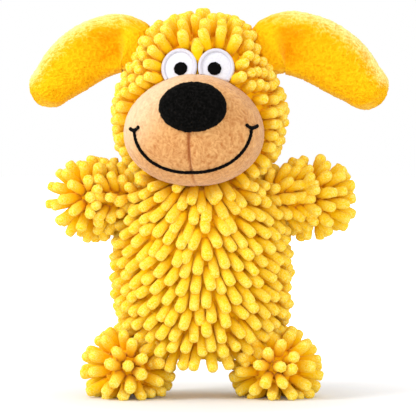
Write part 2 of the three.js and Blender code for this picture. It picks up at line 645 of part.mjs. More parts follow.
// Muzzle: two pile-fabric halves that meet at a drawn-in centre seam, over a wad
function muzzleBag(inset) {
  const profile = bagProfile(MUZZLE_WIDTH / 2 - inset, MUZZLE_DEPTH - 2 * inset, MUZZLE_SQUARENESS, RINGS);
  const flatten = (MUZZLE_HEIGHT / 2 - inset) / (MUZZLE_WIDTH / 2 - inset);
  const bag = revolved(profile, flatten, ROUND_SEGMENTS).rotateX(-Math.PI / 2);
  const place = bag.getAttribute("position");
  for (let i = 0; i < place.count; i++) {
    const jowl = 1 - (MUZZLE_JOWL * place.getZ(i)) / (MUZZLE_HEIGHT / 2);
    place.setX(i, place.getX(i) * jowl);
  }
  return solid(bag.translate(0, -MUZZLE_FORWARD, MUZZLE_RISE));
}
const muzzleGrown = muzzleBag(-FIT_GAP);

// Distance ahead of the neck's axis of the muzzle's surface at a place seen from the front.
function muzzleFront(x, z) {
  const up = (z - MUZZLE_RISE) / (MUZZLE_HEIGHT / 2);
  const out = Math.hypot(x / (1 - MUZZLE_JOWL * up) / (MUZZLE_WIDTH / 2), up);
  return MUZZLE_FORWARD + (MUZZLE_DEPTH / 2) * Math.max(0, 1 - out ** MUZZLE_SQUARENESS) ** (1 / MUZZLE_SQUARENESS);
}

function makeMuzzle() {
  // The chin is cut by the shoulders, as the head rests and at both ends of its turn.
  const shoulders = seenFrom(torsoGrown.intersect(halfSpace(2, NECK + FIT_GAP, -1)), torso, head);
  const behind = [-1, 0, 1]
    .map((turn) => shoulders.rotate([0, 0, turn * HEAD_SWING]))
    .reduce((made, cutter) => made.add(cutter), headGrown);
  const skin = muzzleBag(0).subtract(muzzleBag(FABRIC)).subtract(behind);
  piece(head, "muzzle_right_panel", skin.intersect(halfSpace(0, -SEAM_GAP / 2, -1)), muzzleTan);
  piece(head, "muzzle_left_panel", skin.intersect(halfSpace(0, SEAM_GAP / 2, 1)), muzzleTan);
  piece(head, "muzzle_stuffing", muzzleBag(LINING).subtract(behind), fibreWhite);
}

// Nose: a padded oval of black pile fabric over the centre seam
function makeNose() {
  const nose = groupIn(
    head,
    vec(0, -muzzleFront(0, NOSE_RISE) + NOSE_SINK, NOSE_RISE),
    [-rad(NOSE_TILT), 0, 0],
  );
  const noseBag = (inset) => {
    const profile = bagProfile(NOSE_WIDTH / 2 - inset, NOSE_DEPTH - 2 * inset, 2.2, RINGS);
    const flatten = (NOSE_HEIGHT / 2 - inset) / (NOSE_WIDTH / 2 - inset);
    return solid(revolved(profile, flatten, SMALL_SEGMENTS).rotateX(-Math.PI / 2));
  };
  const muzzle = seenFrom(muzzleGrown, head, nose);
  piece(nose, "nose_cover", noseBag(0).subtract(noseBag(FABRIC)).subtract(muzzle), noseBlack);
  piece(nose, "nose_padding", noseBag(LINING).subtract(muzzle), fibreWhite);
}

// Eyes: a felt oval with a satin-stitched rim and a felt pupil, tucked under the top of the muzzle
const ellipse = (a, b) => new THREE.Shape().absellipse(0, 0, a, b, 0, 2 * Math.PI);
const disc = (shape, depth) => {
  const plate = new THREE.ExtrudeGeometry(shape, { depth, curveSegments: SMALL_SEGMENTS / 2, bevelEnabled: false });
  return solid(plate.rotateX(Math.PI / 2));
};

function makeEye(side, word) {
  const eye = groupIn(
    head,
    vec(side * EYE_X, -headFront(EYE_X, EYE_RISE) - FIT_GAP, EYE_RISE),
    [-rad(EYE_TILT), 0, side * rad(EYE_SPLAY)],
  );
  const muzzle = seenFrom(muzzleGrown, head, eye);
  const skull = seenFrom(headGrown, head, eye);
  const white = disc(ellipse(EYE_WIDTH / 2, EYE_HEIGHT / 2), EYE_THICKNESS);
  piece(eye, `${word}_eye_white`, white.subtract(muzzle).subtract(skull), feltWhite);
  const ring = ellipse(EYE_WIDTH / 2, EYE_HEIGHT / 2);
  ring.holes.push(new THREE.Path().absellipse(0, 0, EYE_WIDTH / 2 - RIM_WIDTH, EYE_HEIGHT / 2 - RIM_WIDTH, 0, 2 * Math.PI));
  const front = -EYE_THICKNESS - FIT_GAP;
  piece(eye, `${word}_eye_rim`, moved(disc(ring, RIM_HEIGHT), 0, front, 0).subtract(muzzle), rimWhite);
  const pupil = new THREE.Shape().absarc(-side * PUPIL_INWARD, -PUPIL_DROP, PUPIL_RADIUS, 0, 2 * Math.PI);
  piece(eye, `${word}_pupil`, moved(disc(pupil, PUPIL_THICKNESS), 0, front, 0).subtract(muzzle), threadBlack);
}

// Smile: a cord of stitches that lies on the muzzle, with a short stroke across each corner
function makeSmile() {
  const lift = THREAD_RADIUS + FIT_GAP;
  const onMuzzle = (x, z) => vec(x, -muzzleFront(x, z) - lift, z);
  const section = new THREE.Shape().absarc(0, 0, THREAD_RADIUS, 0, 2 * Math.PI);
  const stroke = (points, steps) => {
    const extrudePath = new THREE.CatmullRomCurve3(points);
    return solid(new THREE.ExtrudeGeometry(section, { extrudePath, steps, curveSegments: 2, bevelEnabled: false }));
  };
  const smile = Array.from({ length: 21 }, (_, i) => {
    const t = -1 + i / 10;
    const drop = SMILE_DROP * Math.sqrt(1 - Math.min(1, Math.abs(t) ** 2.2));
    return onMuzzle(SMILE_HALF_WIDTH * t, SMILE_CORNER_RISE - drop);
  });
  const corner = (side) => {
    const reach = SMILE_TICK / 2;
    return [-1, -0.4, 0.2, 1].map((t) => {
      const x = side * (SMILE_HALF_WIDTH - reach * t * 0.9);
      return onMuzzle(x, SMILE_CORNER_RISE + reach * (0.5 * t * t + 0.15 * t) - 0.4);
    });
  };
  const strokes = [stroke(smile, 24), stroke(corner(-1), 4), stroke(corner(1), 4)];
  piece(head, "smile_stitch", wasm.Manifold.union(strokes), threadBlack);
}

// Ears: a revolved sausage, flattened front to back and bent over, in two panels with padding between them
function earForm(inset) {
  const half = EAR_WIDTH / 2 - inset;
  const root = EAR_ROOT_WIDTH / 2 - inset;
  const end = EAR_LENGTH - inset;
  const start = -EAR_ROOT_WIDTH / 2;
  const rings = RINGS + 2;
  const profile = Array.from({ length: rings + 1 }, (_, i) => {
    const s = start + ((end - start) * i) / rings;
    const swell = THREE.MathUtils.smoothstep(s, start, EAR_WIDTH * 0.75);
    const tip = Math.max(0, (s - (end - half * 1.1)) / (half * 1.1));
    return new THREE.Vector2((root + (half - root) * swell) * Math.sqrt(Math.max(0, 1 - tip * tip)), s);
  });
  profile[rings].x = 0;
  profile.unshift(new THREE.Vector2(0, start));
  const flatten = (EAR_THICKNESS / 2 - inset) / half;
  const straight = revolved(profile, flatten, EAR_SEGMENTS);
  const place = straight.getAttribute("position");
  for (let i = 0; i < place.count; i++) {
    const along = place.getZ(i);
    const bent = THREE.MathUtils.clamp(along, 0, EAR_BEND_RADIUS * rad(EAR_BEND));
    const turn = bent / EAR_BEND_RADIUS;
    const reach = EAR_BEND_RADIUS - place.getX(i);
    const x = reach * Math.sin(turn) + (along - bent) * Math.cos(turn);
    const z = reach * Math.cos(turn) - EAR_BEND_RADIUS - (along - bent) * Math.sin(turn);
    place.setXYZ(i, x, place.getY(i), z);
  }
  return solid(straight);
}

function makeEar(side, word) {
  const ear = groupIn(head, vec(side * EAR_ROOT_X, EAR_BACK, EAR_ROOT_Z), [0, -side * rad(EAR_HEADING), 0]);
  // The root is cut by the head as it lies, and as it stands at both ends of the ear's swing.
  const skull = seenFrom(headGrown, head, ear);
  const swings = [0, -side * EAR_LIFT, side * EAR_DROOP].map((angle) => skull.rotate([0, -angle, 0]));
  const mirrored = (made) => (side > 0 ? made : made.mirror([1, 0, 0]));
  const shaped = (inset) => swings.reduce((made, cutter) => made.subtract(cutter), mirrored(earForm(inset)));
  const skin = shaped(0).subtract(mirrored(earForm(FABRIC)));
  piece(ear, `${word}_ear_front_panel`, skin.intersect(halfSpace(1, -SEAM_GAP / 2, -1)), pileYellow);
  piece(ear, `${word}_ear_back_panel`, skin.intersect(halfSpace(1, SEAM_GAP / 2, 1)), pileYellow);
  piece(ear, `${word}_ear_padding`, shaped(LINING), fibreWhite);
}

// An arm's noodles stay outside a cone about the shoulder, so that they clear the torso as the arm swings.
const SHOULDER_FLARE = Math.tan(rad(ARM_LOWER + 2));

// Arms: noodle cover and stuffing, cut by the torso as it lies and at both ends of the arm's swing
function makeArm(side, word) {
  const arm = groupIn(toy, vec(side * SHOULDER_X, 0, SHOULDER));
  const trunk = seenFrom(torsoGrown, torso, arm);
  const swings = [0, ARM_RAISE, -ARM_LOWER].map((angle) => trunk.rotate([0, side * angle, 0]));
  const along = (made) => made.rotate([0, side * 90, 0]);
  const form = (inset) => along(solid(revolved(armProfile(inset, LIMB_RINGS), 1, LIMB_SEGMENTS)));
  const shaped = (inset) => swings.reduce((made, cutter) => made.subtract(cutter), form(inset));
  const toArm = new THREE.Matrix4().makeRotationY((side * Math.PI) / 2);
  const noodles = noodleRows({
    profile: armProfile(0, LIMB_RINGS).filter((p) => p.y > ARM_ROOT_RADIUS),
    flatten: 1,
    segments: LIMB_SEGMENTS,
    pitch: PAW_NOODLE_PITCH,
    row: PAW_NOODLE_ROW,
    length: PAW_NOODLE_LENGTH,
    lean: (base) => vec(0, 0, 0.75 * THREE.MathUtils.smoothstep(-base.z, -ARM_LENGTH, -ARM_LENGTH * 0.3)),
    wanted: (noodle) => samplesOf(noodle).every((p) => p.z > Math.hypot(p.x, p.y) * SHOULDER_FLARE + NOODLE_CLEAR),
  }).map((noodle) => carried(noodle, toArm));
  piece(arm, `${word}_arm_cover`, covered(shaped(0).subtract(form(FABRIC)), noodles), noodleYellow);
  piece(arm, `${word}_arm_stuffing`, shaped(LINING), fibreWhite);
}

// Legs: a foot that faces forward on a flat sole, and a stub up to the round end at the hip
function makeLeg(side, word) {
  const hip = vec((side * HIP_SPACING) / 2, 0, LEG_LENGTH);
  const leg = groupIn(toy, hip);
  const foot = vec((side * FOOT_SPACING) / 2, -FOOT_FORWARD, FOOT_CENTRE_Z).sub(hip);
  const floor = halfSpace(2, -LEG_LENGTH, 1);
  const down = new THREE.Quaternion().setFromUnitVectors(vec(0, 1, 0), foot.clone().normalize());
  const form = (inset) => {
    const profile = bagProfile(FOOT_WIDTH / 2 - inset, FOOT_HEIGHT - 2 * inset, FOOT_SQUARENESS, LIMB_RINGS);
    const flatten = (FOOT_DEPTH / 2 - inset) / (FOOT_WIDTH / 2 - inset);
    const ball = solid(revolved(profile, flatten, LIMB_SEGMENTS)).translate(foot.toArray());
    const thin = HIP_RADIUS * HIP_PINCH - inset;
    const stub = new THREE.CylinderGeometry(LEG_STUB_RADIUS - inset, thin, foot.length(), LIMB_SEGMENTS);
    stub.translate(0, foot.length() / 2, 0).applyQuaternion(down);
    return ball.add(solid(stub)).add(hipEnd(inset)).intersect(floor.translate([0, 0, inset]));
  };
  const toFoot = new THREE.Matrix4().setPosition(foot);
  const stubLine = new THREE.Ray(foot, foot.clone().normalize().negate());
  const clearOfTorso = (p) =>
    [-LEG_SWING, 0, LEG_SWING].every((swing) => {
      const there = p.clone().applyAxisAngle(vec(1, 0, 0), rad(swing)).add(hip);
      return !inTorso(there, NOODLE_ROOM);
    });
  const noodles = noodleRows({
    profile: bagProfile(FOOT_WIDTH / 2, FOOT_HEIGHT, FOOT_SQUARENESS, LIMB_RINGS),
    flatten: FOOT_DEPTH / FOOT_WIDTH,
    segments: LIMB_SEGMENTS,
    pitch: PAW_NOODLE_PITCH,
    row: PAW_NOODLE_ROW,
    length: PAW_NOODLE_LENGTH,
    lean: (base, normal) => vec(0, 0, -0.6 * normal.z),
    wanted: (noodle) => {
      const placed = carried(noodle, toFoot);
      return [placed.base, ...samplesOf(placed)].every((p) => {
        const offStub = stubLine.distanceToPoint(p) > LEG_STUB_RADIUS + NOODLE_CORNER || p.z < foot.z;
        return offStub && p.z > NOODLE_CORNER - LEG_LENGTH && clearOfTorso(p);
      });
    },
  }).map((noodle) => carried(noodle, toFoot));
  // The cover is open inside the torso, where the leg is filled and sewn on.
  const opening = halfSpace(2, HIP_RADIUS / 2, 1);
  const cover = form(0).subtract(form(FABRIC)).subtract(opening);
  piece(leg, `${word}_leg_cover`, covered(cover, noodles), noodleYellow);
  piece(leg, `${word}_leg_stuffing`, form(LINING), fibreWhite);
}

makeTorso();
makeSqueaker();
makeHead();
makeMuzzle();
makeNose();
makeSmile();
for (const [side, word] of [[1, "left"], [-1, "right"]]) {
  makeEye(side, word);
  makeEar(side, word);
  makeArm(side, word);
  makeLeg(side, word);
}

// The origin is on the floor, under the middle of the whole toy.
const box = new THREE.Box3().setFromObject(toy, true);
const middle = box.getCenter(vec(0, 0, 0));
toy.position.set(-middle.x, -middle.y, -box.min.z);

export default toy;
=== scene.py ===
"""A stuffed dog toy of chenille noodle fabric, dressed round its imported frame.

Shapes are worked out in millimetres, in the frame of the part of the toy that they belong to: x to the
dog's own left, y to its back, z up. They are then placed in the shared frame, in metres.
"""

import json
import math

import bpy
import numpy as np
from mathutils import Matrix, Vector
from mathutils.bvhtree import BVHTree


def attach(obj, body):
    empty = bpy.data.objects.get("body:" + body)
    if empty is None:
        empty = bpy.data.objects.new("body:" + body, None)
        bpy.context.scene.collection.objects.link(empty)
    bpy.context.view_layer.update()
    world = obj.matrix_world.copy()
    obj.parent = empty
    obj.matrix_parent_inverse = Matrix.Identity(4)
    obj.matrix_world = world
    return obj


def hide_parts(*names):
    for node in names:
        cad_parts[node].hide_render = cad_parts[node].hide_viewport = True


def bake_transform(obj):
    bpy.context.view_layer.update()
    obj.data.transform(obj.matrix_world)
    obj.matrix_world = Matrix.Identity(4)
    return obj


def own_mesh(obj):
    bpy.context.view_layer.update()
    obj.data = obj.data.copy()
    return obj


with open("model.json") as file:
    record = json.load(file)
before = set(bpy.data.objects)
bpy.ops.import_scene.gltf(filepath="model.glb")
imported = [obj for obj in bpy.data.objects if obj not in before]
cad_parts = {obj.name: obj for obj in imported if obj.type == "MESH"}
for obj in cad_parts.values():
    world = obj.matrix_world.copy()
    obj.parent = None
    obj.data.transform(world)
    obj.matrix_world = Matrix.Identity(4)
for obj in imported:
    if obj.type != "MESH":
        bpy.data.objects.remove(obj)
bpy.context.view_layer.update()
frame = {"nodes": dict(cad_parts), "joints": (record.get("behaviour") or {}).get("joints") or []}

MM = 0.001
JOINTS = {joint["name"]: joint for joint in frame["joints"]}

# Cloth and noodles
FABRIC = 1.6
PILE_GROUND = 4.0  # how far the matted feet of the pile rise over the cloth
SEAM = 0.4
LINING = 1.9  # from the outside of a cover to its stuffing
WAD_GAP = 0.4  # and from there to a wad of the torso
NOODLE_RADIUS = 3.7
NOODLE_LENGTH = 20.5
TORSO_SPACING = (6.1, 8.0)  # across the lie of the pile and along it
TIP_SPACING = (9.3, 12.6)
HEAD_NOODLE_LENGTH = 15.8
HEAD_SPACING = (6.4, 6.4)
HEAD_TIP_SPACING = (8.9, 8.9)
PAW_NOODLE_RADIUS = 3.65
FOOT_NOODLE_RADIUS = 3.95
PAW_NOODLE_LENGTH = 17.0
# Rings of noodles round the middle of a paw or foot, seen from the front: how far they lean from it, and
# how many
PAW_RINGS = [(3, 1), (26, 7), (52, 11), (80, 14), (110, 13), (138, 9), (165, 4)]
PAW_TURN = {"left": 90, "right": 6}  # degrees from the front, outwards, of the middle of a paw's noodles
PAW_SWEEP = {"left": 0.9, "right": 0.1}  # outward lean of the noodles on an arm's front
ARM_RINGS = [(25.0, 12), (18.0, 11), (11.0, 10), (4.0, 8)]  # out from the shoulder, and how many noodles
FOOT_RINGS = [(3, 1), (24, 7), (48, 11), (75, 14), (104, 14), (134, 10), (162, 5)]
NOODLE_SIDES = 8
NOODLE_STRAY = 0.09  # how much a noodle strays from the way that the pile lies
SETTLE_STEPS = 45
SETTLE_RANGE = 1.3  # in spacings, between noodles that push each other apart
SETTLE_SHARE = 0.14  # of a push, moved in one step
OBLIQUE = np.array([0.31, 0.22, 0.93])  # a direction along no axis
NOODLE_ROOT = 1.0  # how deep a noodle starts under the face of its cloth

# Torso, about the neck's axis and up from the floor
TORSO_HALF = np.array([48.0, 34.0, 67.0])
TORSO_MIDDLE = np.array([0.0, 0.0, 93.0])
TORSO_SQUARENESS = 2.8
MATTED = (34.0, 54.0)  # up or down from the belly's middle, where the feet of the pile mat less and less
CHIN = (132.0, 146.0)  # heights over which the pile turns flat under the chin
LOWEST_TIP = 21.0  # of the torso's noodles
FLANK = 44.0  # aside from the middle, where the pile lies flattest on the torso
ARM_PASSAGE = 20.0  # both ways from a shoulder, along the arm, where the torso has no noodles
BELLY_HALF = (39.0, 56.0)
BELLY_MIDDLE = 88.0
BELLY_SEAM_DEPTH = 24.0
BELLY_FRONT_DEPTH = 42.0
ARM_ROOT = 8.0
ARM_LENGTH = 50.0
PAW_RADIUS = 14.0
ARM_BEND = 36.0  # length along an arm that is given as its bend; a piece with a bend is only left unattached
FOOT_HALF = np.array([16.5, 20.5, 15.0])
FOOT_SQUARENESS = 2.6
FOOT_FROM_HIP = np.array([14.0, -8.0, -23.0])  # middle of the foot, for the left leg
STUB_RADIUS = 12.0
HIP_RADIUS = 11.0

# Head, from the neck seam's middle
HEAD_HALF = np.array([49.0, 42.0, 56.0])
HEAD_MIDDLE = np.array([0.0, 0.0, 46.0])
HEAD_SQUARENESS = 2.3
MUZZLE_HALF = np.array([48.4, 40.0, 38.8])
MUZZLE_MIDDLE = np.array([0.0, -36.0, 33.5])
MUZZLE_SQUARENESS = 2.25
MUZZLE_JOWL = 0.06
MUZZLE_SWELL = 2.5  # how far stuffing may push the cover out
MUZZLE_WALL = 4.0  # from the outside of the cover to its fibre
NOSE_HALF = np.array([24.2, 12.0, 18.6])
NOSE_SQUARENESS = 2.2
NOSE_RISE = 49.4
NOSE_TILT = 20.0
NOSE_SINK = 3.0
NOSE_SWELL = 1.5
NOSE_WALL = 3.0
EYE_ROOM = 2.0  # kept clear of noodles round an eye
EYE_HALF = (12.3, 13.5)
EYE_PLACE = {"left": (12.8, 75.7), "right": (11.9, 75.7)}  # from the centre seam, above the neck seam
EYE_TILT = 20.0
EYE_SPLAY = 9.0
EYE_THICKNESS = 2.2
# Rings of an eye's felt from the middle of its face to the middle of its back, and of a pupil's: the share
# of the outline, and how far behind the face or the back
EYE_FACE = [(0.0, -0.5), (0.35, -0.45), (0.7, -0.3), (0.93, -0.1), (0.99, 0.5)]
EYE_BACK = [(1.0, -0.9), (0.98, -0.2), (0.6, 0.0), (0.0, 0.0)]
PUPIL_RINGS = [(0.0, -1.15), (0.5, -1.1), (0.88, -0.95), (0.99, -0.55), (1.0, 0.1), (0.5, 0.3), (0.0, 0.3)]
RIM_WIDTH = 2.2
RIM_STITCHES = 92
PUPIL_RADIUS = 4.7
PUPIL_PLACE = (-1.2, -1.1)  # towards the nose and down, from the middle of the eye
SMILE_HALF_WIDTH = 39.6
SMILE_CORNER = 35.0
SMILE_DROP = 29.5
SMILE_ASIDE = -0.8
SMILE_ROLL = 0.02
SMILE_TICK = 8.0
THREAD = 1.25
STITCH = 2.6

# Ears: their middle line from the root seam, as (outwards, up, half of the width there), and the rest
EAR_LINE = np.array([
    (0.0, 0.0, 13.0), (9.0, 5.4, 18.2), (18.1, 10.0, 20.4), (34.7, 7.4, 21.6), (47.6, 0.8, 21.2),
    (59.0, -8.4, 19.8), (70.4, -19.6, 15.8)])
EAR_REACH = {"left": 1.09, "right": 1.0}  # the dog's left ear sticks out further
EAR_FULLNESS = {"left": 1.09, "right": 1.01}  # and is wider
EAR_HALF_THICKNESS = 13.5
EAR_SWELL = 2.0
EAR_WALL = 7.5
EAR_HOLLOW = 5.5  # depth of the hollow in an ear's front
EAR_BACK = 2.5  # how far the ear's front and its fibre lie further back there
EAR_BEND = np.array([[0.0, 0.0, 0.0], [22.0, 0.0, 6.0]])  # two points of an ear that are given as its bend; a piece with a bend is only left unattached

# Squeaker
BULB_HALF = (23.0, 13.0)
BULB_RISE = 86.0
BULB_FORWARD = 3.0
BULB_NECK = 5.0
BULB_NECK_LENGTH = 9.0
BULB_WALL = 1.0
BULB_SQUARENESS = 2.4


# Numbers

def smoothstep(x, low, high):
    """0 below low, 1 above high, and the cubic 3t^2 - 2t^3 between them."""
    t = np.clip((x - low) / (high - low), 0, 1)
    return t * t * (3 - 2 * t)


def unit(vectors):
    """Vectors over their lengths."""
    return vectors / np.maximum(np.linalg.norm(vectors, axis=-1, keepdims=True), 1e-12)


def noise(points, cell, seed=0.0):
    """Smooth noise from -1 to 1: pseudo-random values on a cubic lattice, blended between its eight
    corners."""
    q = np.asarray(points) / cell
    low = np.floor(q)
    share = q - low
    share = share * share * (3 - 2 * share)
    total = 0.0
    for corner in np.ndindex(2, 2, 2):
        wave = np.sin((low + corner) @ np.array([127.1, 311.7, 74.7]) + 19.19 * seed) * 43758.5453
        weight = np.prod(np.where(np.array(corner) == 1, share, 1 - share), axis=-1)
        total = total + weight * (wave - np.floor(wave))
    return 2 * total - 1


def round_turn(steps):
    """Equal steps of one full turn, from 0."""
    return np.linspace(0, 2 * math.pi, steps, endpoint=False)


def swirl(points, cell, seed):
    """Three noises at points, as vectors."""
    return np.stack([noise(points, cell, seed + k) for k in range(3)], axis=1)


def curls(points, size, seed):
    """Curly pile from 0 to 1: the crests of a noise whose ground is itself warped by noise."""
    warped = points + 0.55 * size * swirl(points, 1.6 * size, seed)
    return (1 - np.abs(noise(warped, size, seed + 3))) ** 2


def swelling(share, squareness):
    """How far a bag swells at a share of its outline: (1 - share^n)^(1/n), and 0 outside."""
    return np.maximum(0, 1 - share ** squareness) ** (1 / squareness)


def sampled(at, lengths, values):
    """Rows of values given at lengths along a line, blended at other lengths."""
    return np.stack([np.interp(at, lengths, column) for column in values.T], axis=1)


def lengths_along(line):
    """How long a line is up to each of its points."""
    return np.concatenate([[0], np.cumsum(np.linalg.norm(np.diff(line, axis=0), axis=1))])


def xyz(x, y, z):
    """Points from their coordinates, each of them an array or one number."""
    return np.stack(np.broadcast_arrays(x, y, z), axis=-1)


def ways_round(tilt, turn):
    """Directions that tilt from the line of sight (-y) and turn round it."""
    return xyz(np.sin(tilt) * np.cos(turn), -np.cos(tilt), np.sin(tilt) * np.sin(turn))


def turn_about(axis, angle):
    """Matrix of a turn by an angle about the axis 0, 1 or 2."""
    return np.array(Matrix.Rotation(angle, 3, "XYZ"[axis]))


class Place:
    """Where a part's own frame sits in the shared frame: a turn and then a shift."""

    def __init__(self, origin, turn=np.eye(3)):
        self.origin = np.asarray(origin, float)
        self.turn = np.asarray(turn, float)

    def __call__(self, points):
        return np.asarray(points) @ self.turn.T + self.origin

    def then(self, origin, turn=np.eye(3)):
        """The place of a frame that is given in this one."""
        return Place(self(np.asarray(origin, float)), self.turn @ turn)

    def back(self, points):
        """Points of the shared frame, in this one."""
        return (np.asarray(points) - self.origin) @ self.turn

    def facing(self, faces):
        """Faces as they stay outward: turned over where the frame is a mirrored one."""
        return [face[::-1] for face in faces] if np.linalg.det(self.turn) < 0 else faces


NECK = np.array(JOINTS["head_turn"]["pos_m"]) / MM
FACING = JOINTS["left_ear_flop"]["axis"]
TORSO = Place([NECK[0], NECK[1], 0.0])
HEAD = Place(NECK, turn_about(2, math.atan2(FACING[0], -FACING[1])))
SIDES = {"left": 1, "right": -1}
SHOULDERS = {word: np.array(JOINTS[f"{word}_arm_swing"]["pos_m"]) / MM for word in SIDES}
HIPS = {word: np.array(JOINTS[f"{word}_leg_swing"]["pos_m"]) / MM for word in SIDES}
EAR_ROOTS = {word: HEAD.back(np.array(JOINTS[f"{word}_ear_flop"]["pos_m"]) / MM) for word in SIDES}


# Meshes

class Skin:
    """Vertices, faces and named values at the vertices."""

    def __init__(self, points, faces, **values):
        self.points = np.asarray(points, float)
        self.faces = faces
        self.values = {name: np.broadcast_to(value, len(self.points)) for name, value in values.items()}


def strips(index):
    """Faces between the rings of a grid of vertices, in rows."""
    across = np.roll(index, -1, axis=1)
    return np.stack([index[:-1], across[:-1], across[1:], index[1:]], axis=-1)


def wound(grid, start=True, end=True, **values):
    """A closed skin from a grid of rings: each row is a ring that closes on itself, and the first and last
    rows shrink to a pole where asked, or else close as a flat face."""
    rows, columns = grid.shape[:2]
    points = grid.reshape(-1, 3)
    index = np.arange(rows * columns).reshape(rows, columns)
    keep = np.ones(rows * columns, bool)
    for pole, row in ((start, 0), (end, rows - 1)):
        if pole:
            points[index[row]] = points[index[row]].mean(0)
            keep[index[row, 1:]] = False
            index[row] = index[row, 0]
    index = (np.cumsum(keep) - 1)[index]
    quads = strips(index)
    first = quads[0][:, [0, 2, 3]] if start else quads[0]
    last = quads[-1][:, :3] if end else quads[-1]
    faces = first.tolist() + quads[1:-1].reshape(-1, 4).tolist() + last.tolist()
    if not start:
        faces.append(index[0][::-1].tolist())
    if not end:
        faces.append(index[-1].tolist())
    for name, value in values.items():
        values[name] = np.broadcast_to(value, (rows, columns)).reshape(-1)[keep]
    return Skin(points[keep], faces, **values)


def together(*skins):
    """Several skins as one, with the values that they share by name."""
    offsets = np.cumsum([0] + [len(skin.points) for skin in skins])
    faces = [[v + int(shift) for v in face] for skin, shift in zip(skins, offsets) for face in skin.faces]
    names = set.intersection(*(set(skin.values) for skin in skins))
    values = {name: np.concatenate([skin.values[name] for skin in skins]) for name in names}
    return Skin(np.concatenate([skin.points for skin in skins]), faces, **values)


def outward(skin):
    """The skin with its faces pointing out: turned over if the volume that they enclose comes out
    negative."""
    p = skin.points - skin.points.mean(0)
    volume = 0.0
    for size in {len(face) for face in skin.faces}:
        corners = p[np.array([face for face in skin.faces if len(face) == size])]
        for k in range(1, size - 1):
            volume += np.einsum("ij,ij->", corners[:, 0], np.cross(corners[:, k], corners[:, k + 1]))
    if volume < 0:
        skin.faces = [face[::-1] for face in skin.faces]
    return skin


def mesh_object(name, skin, place):
    """A new object at the origin whose mesh lies in the shared frame, in metres."""
    mesh = bpy.data.meshes.new(name)
    mesh.from_pydata((place(skin.points) * MM).tolist(), [], place.facing(skin.faces))
    for label, value in skin.values.items():
        attribute = mesh.attributes.new(label, "FLOAT", "POINT")
        attribute.data.foreach_set("value", np.ascontiguousarray(value, np.float32))
    mesh.shade_smooth()
    made = bpy.data.objects.new(name, mesh)
    bpy.context.scene.collection.objects.link(made)
    return made


def piece(name, skin, place, body, finish, replaced=(), slot=None, bend=None):
    """A finished piece: its mesh, its finish, the body that it rides on and the solids that it stands for,
    which are hidden. One that is given a bend is left in the shared frame, on no body."""
    made = mesh_object(name, outward(skin), place)
    made.data.materials.append(finish)
    if bend:
        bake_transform(made)
    else:
        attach(made, body)
    if replaced:
        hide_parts(*replaced)
    return made


def padded(fill, *given, **named):
    """A finished piece that is padded; how full it is, fill, is not used."""
    made = piece(*given, **named)
    return made


def stuffing(fill, name, skin, place, body, node, bend=None):
    """A padded piece of fibre fill, which stands for one solid."""
    return padded(fill, name, skin, place, body, FIBRE_FILL, [node], "fibre_fill", bend)


def noodle_cover(name, cloth, tufts, place, body, nodes, bend=None):
    """A cover of noodle fabric: its cloth, which counts as the root of a noodle and takes its painted shade,
    with the noodles on it.
    """
    count = len(cloth.points)
    cloth.values = {"along": np.zeros(count), "tint": np.full(count, 0.5)}
    skin = together(outward(cloth), outward(tufts))
    piece(name, skin, place, body, CHENILLE, nodes, "noodle_fabric", bend)


# Forms

def polar(rows, columns):
    """Directions on a sphere in rings about the line of sight, from the front (-y) to the back."""
    return ways_round(np.linspace(0, math.pi, rows)[:, None], round_turn(columns))


class Bag:
    """A stuffed bag about its middle: |across|^n + |along|^n = 1, where n is its squareness, along the
    share of the half-size on its axis and across the elliptic share on the other two."""

    def __init__(self, middle, half, squareness, axis):
        self.middle = np.asarray(middle, float)
        self.half = np.asarray(half, float)
        self.squareness = squareness
        self.axis = axis

    def grown(self, by):
        """The bag with its half-sizes longer."""
        return Bag(self.middle, self.half + by, self.squareness, self.axis)

    def reach(self, directions):
        """Distance from the middle to the skin."""
        share = directions / self.half
        along = np.abs(share[..., self.axis])
        across = np.sqrt(np.maximum(0, (share ** 2).sum(-1) - along ** 2))
        return (across ** self.squareness + along ** self.squareness) ** (-1 / self.squareness)

    def skin(self, directions):
        """Points of the skin in directions from the middle."""
        return self.middle + directions * self.reach(directions)[..., None]

    def seat(self, points):
        """Points moved to the skin, towards the middle or from it."""
        return self.skin(unit(points - self.middle))

    def normals(self, points):
        """Outward normals of the skin: the slope of |across|^n + |along|^n."""
        n, axis = self.squareness, self.axis
        share = (points - self.middle) / self.half
        along = np.abs(share[..., axis:axis + 1])
        across = np.sqrt(np.maximum(1e-12, (share ** 2).sum(-1, keepdims=True) - along ** 2))
        slope = share / self.half * across ** (n - 2)
        slope[..., axis] = (np.sign(share[..., axis:axis + 1]) * along ** (n - 1) / self.half[axis])[..., 0]
        return unit(slope)

    def depth(self, points):
        """Below 1 inside the bag, 1 on its skin."""
        way = points - self.middle
        length = np.maximum(np.linalg.norm(way, axis=-1), 1e-9)
        return length / self.reach(way / length[..., None])


TORSO_BAG = Bag(TORSO_MIDDLE, TORSO_HALF, TORSO_SQUARENESS, 2)
HEAD_BAG = Bag(HEAD_MIDDLE, HEAD_HALF, HEAD_SQUARENESS, 1)
MUZZLE_BAG = Bag(MUZZLE_MIDDLE, MUZZLE_HALF, MUZZLE_SQUARENESS, 1)


def torso_round(up):
    """The torso's round outline at a height over its middle, as the squared share of its half-sizes."""
    share = np.abs(up - TORSO_MIDDLE[2]) / TORSO_HALF[2]
    return np.maximum(0, 1 - share ** TORSO_SQUARENESS) ** (2 / TORSO_SQUARENESS)


def head_front(x, z):
    """How far ahead of the neck's axis the head's skin is, seen from the front."""
    out = np.hypot(x / HEAD_HALF[0], (z - HEAD_MIDDLE[2]) / HEAD_HALF[2])
    return HEAD_HALF[1] * swelling(out, HEAD_SQUARENESS)


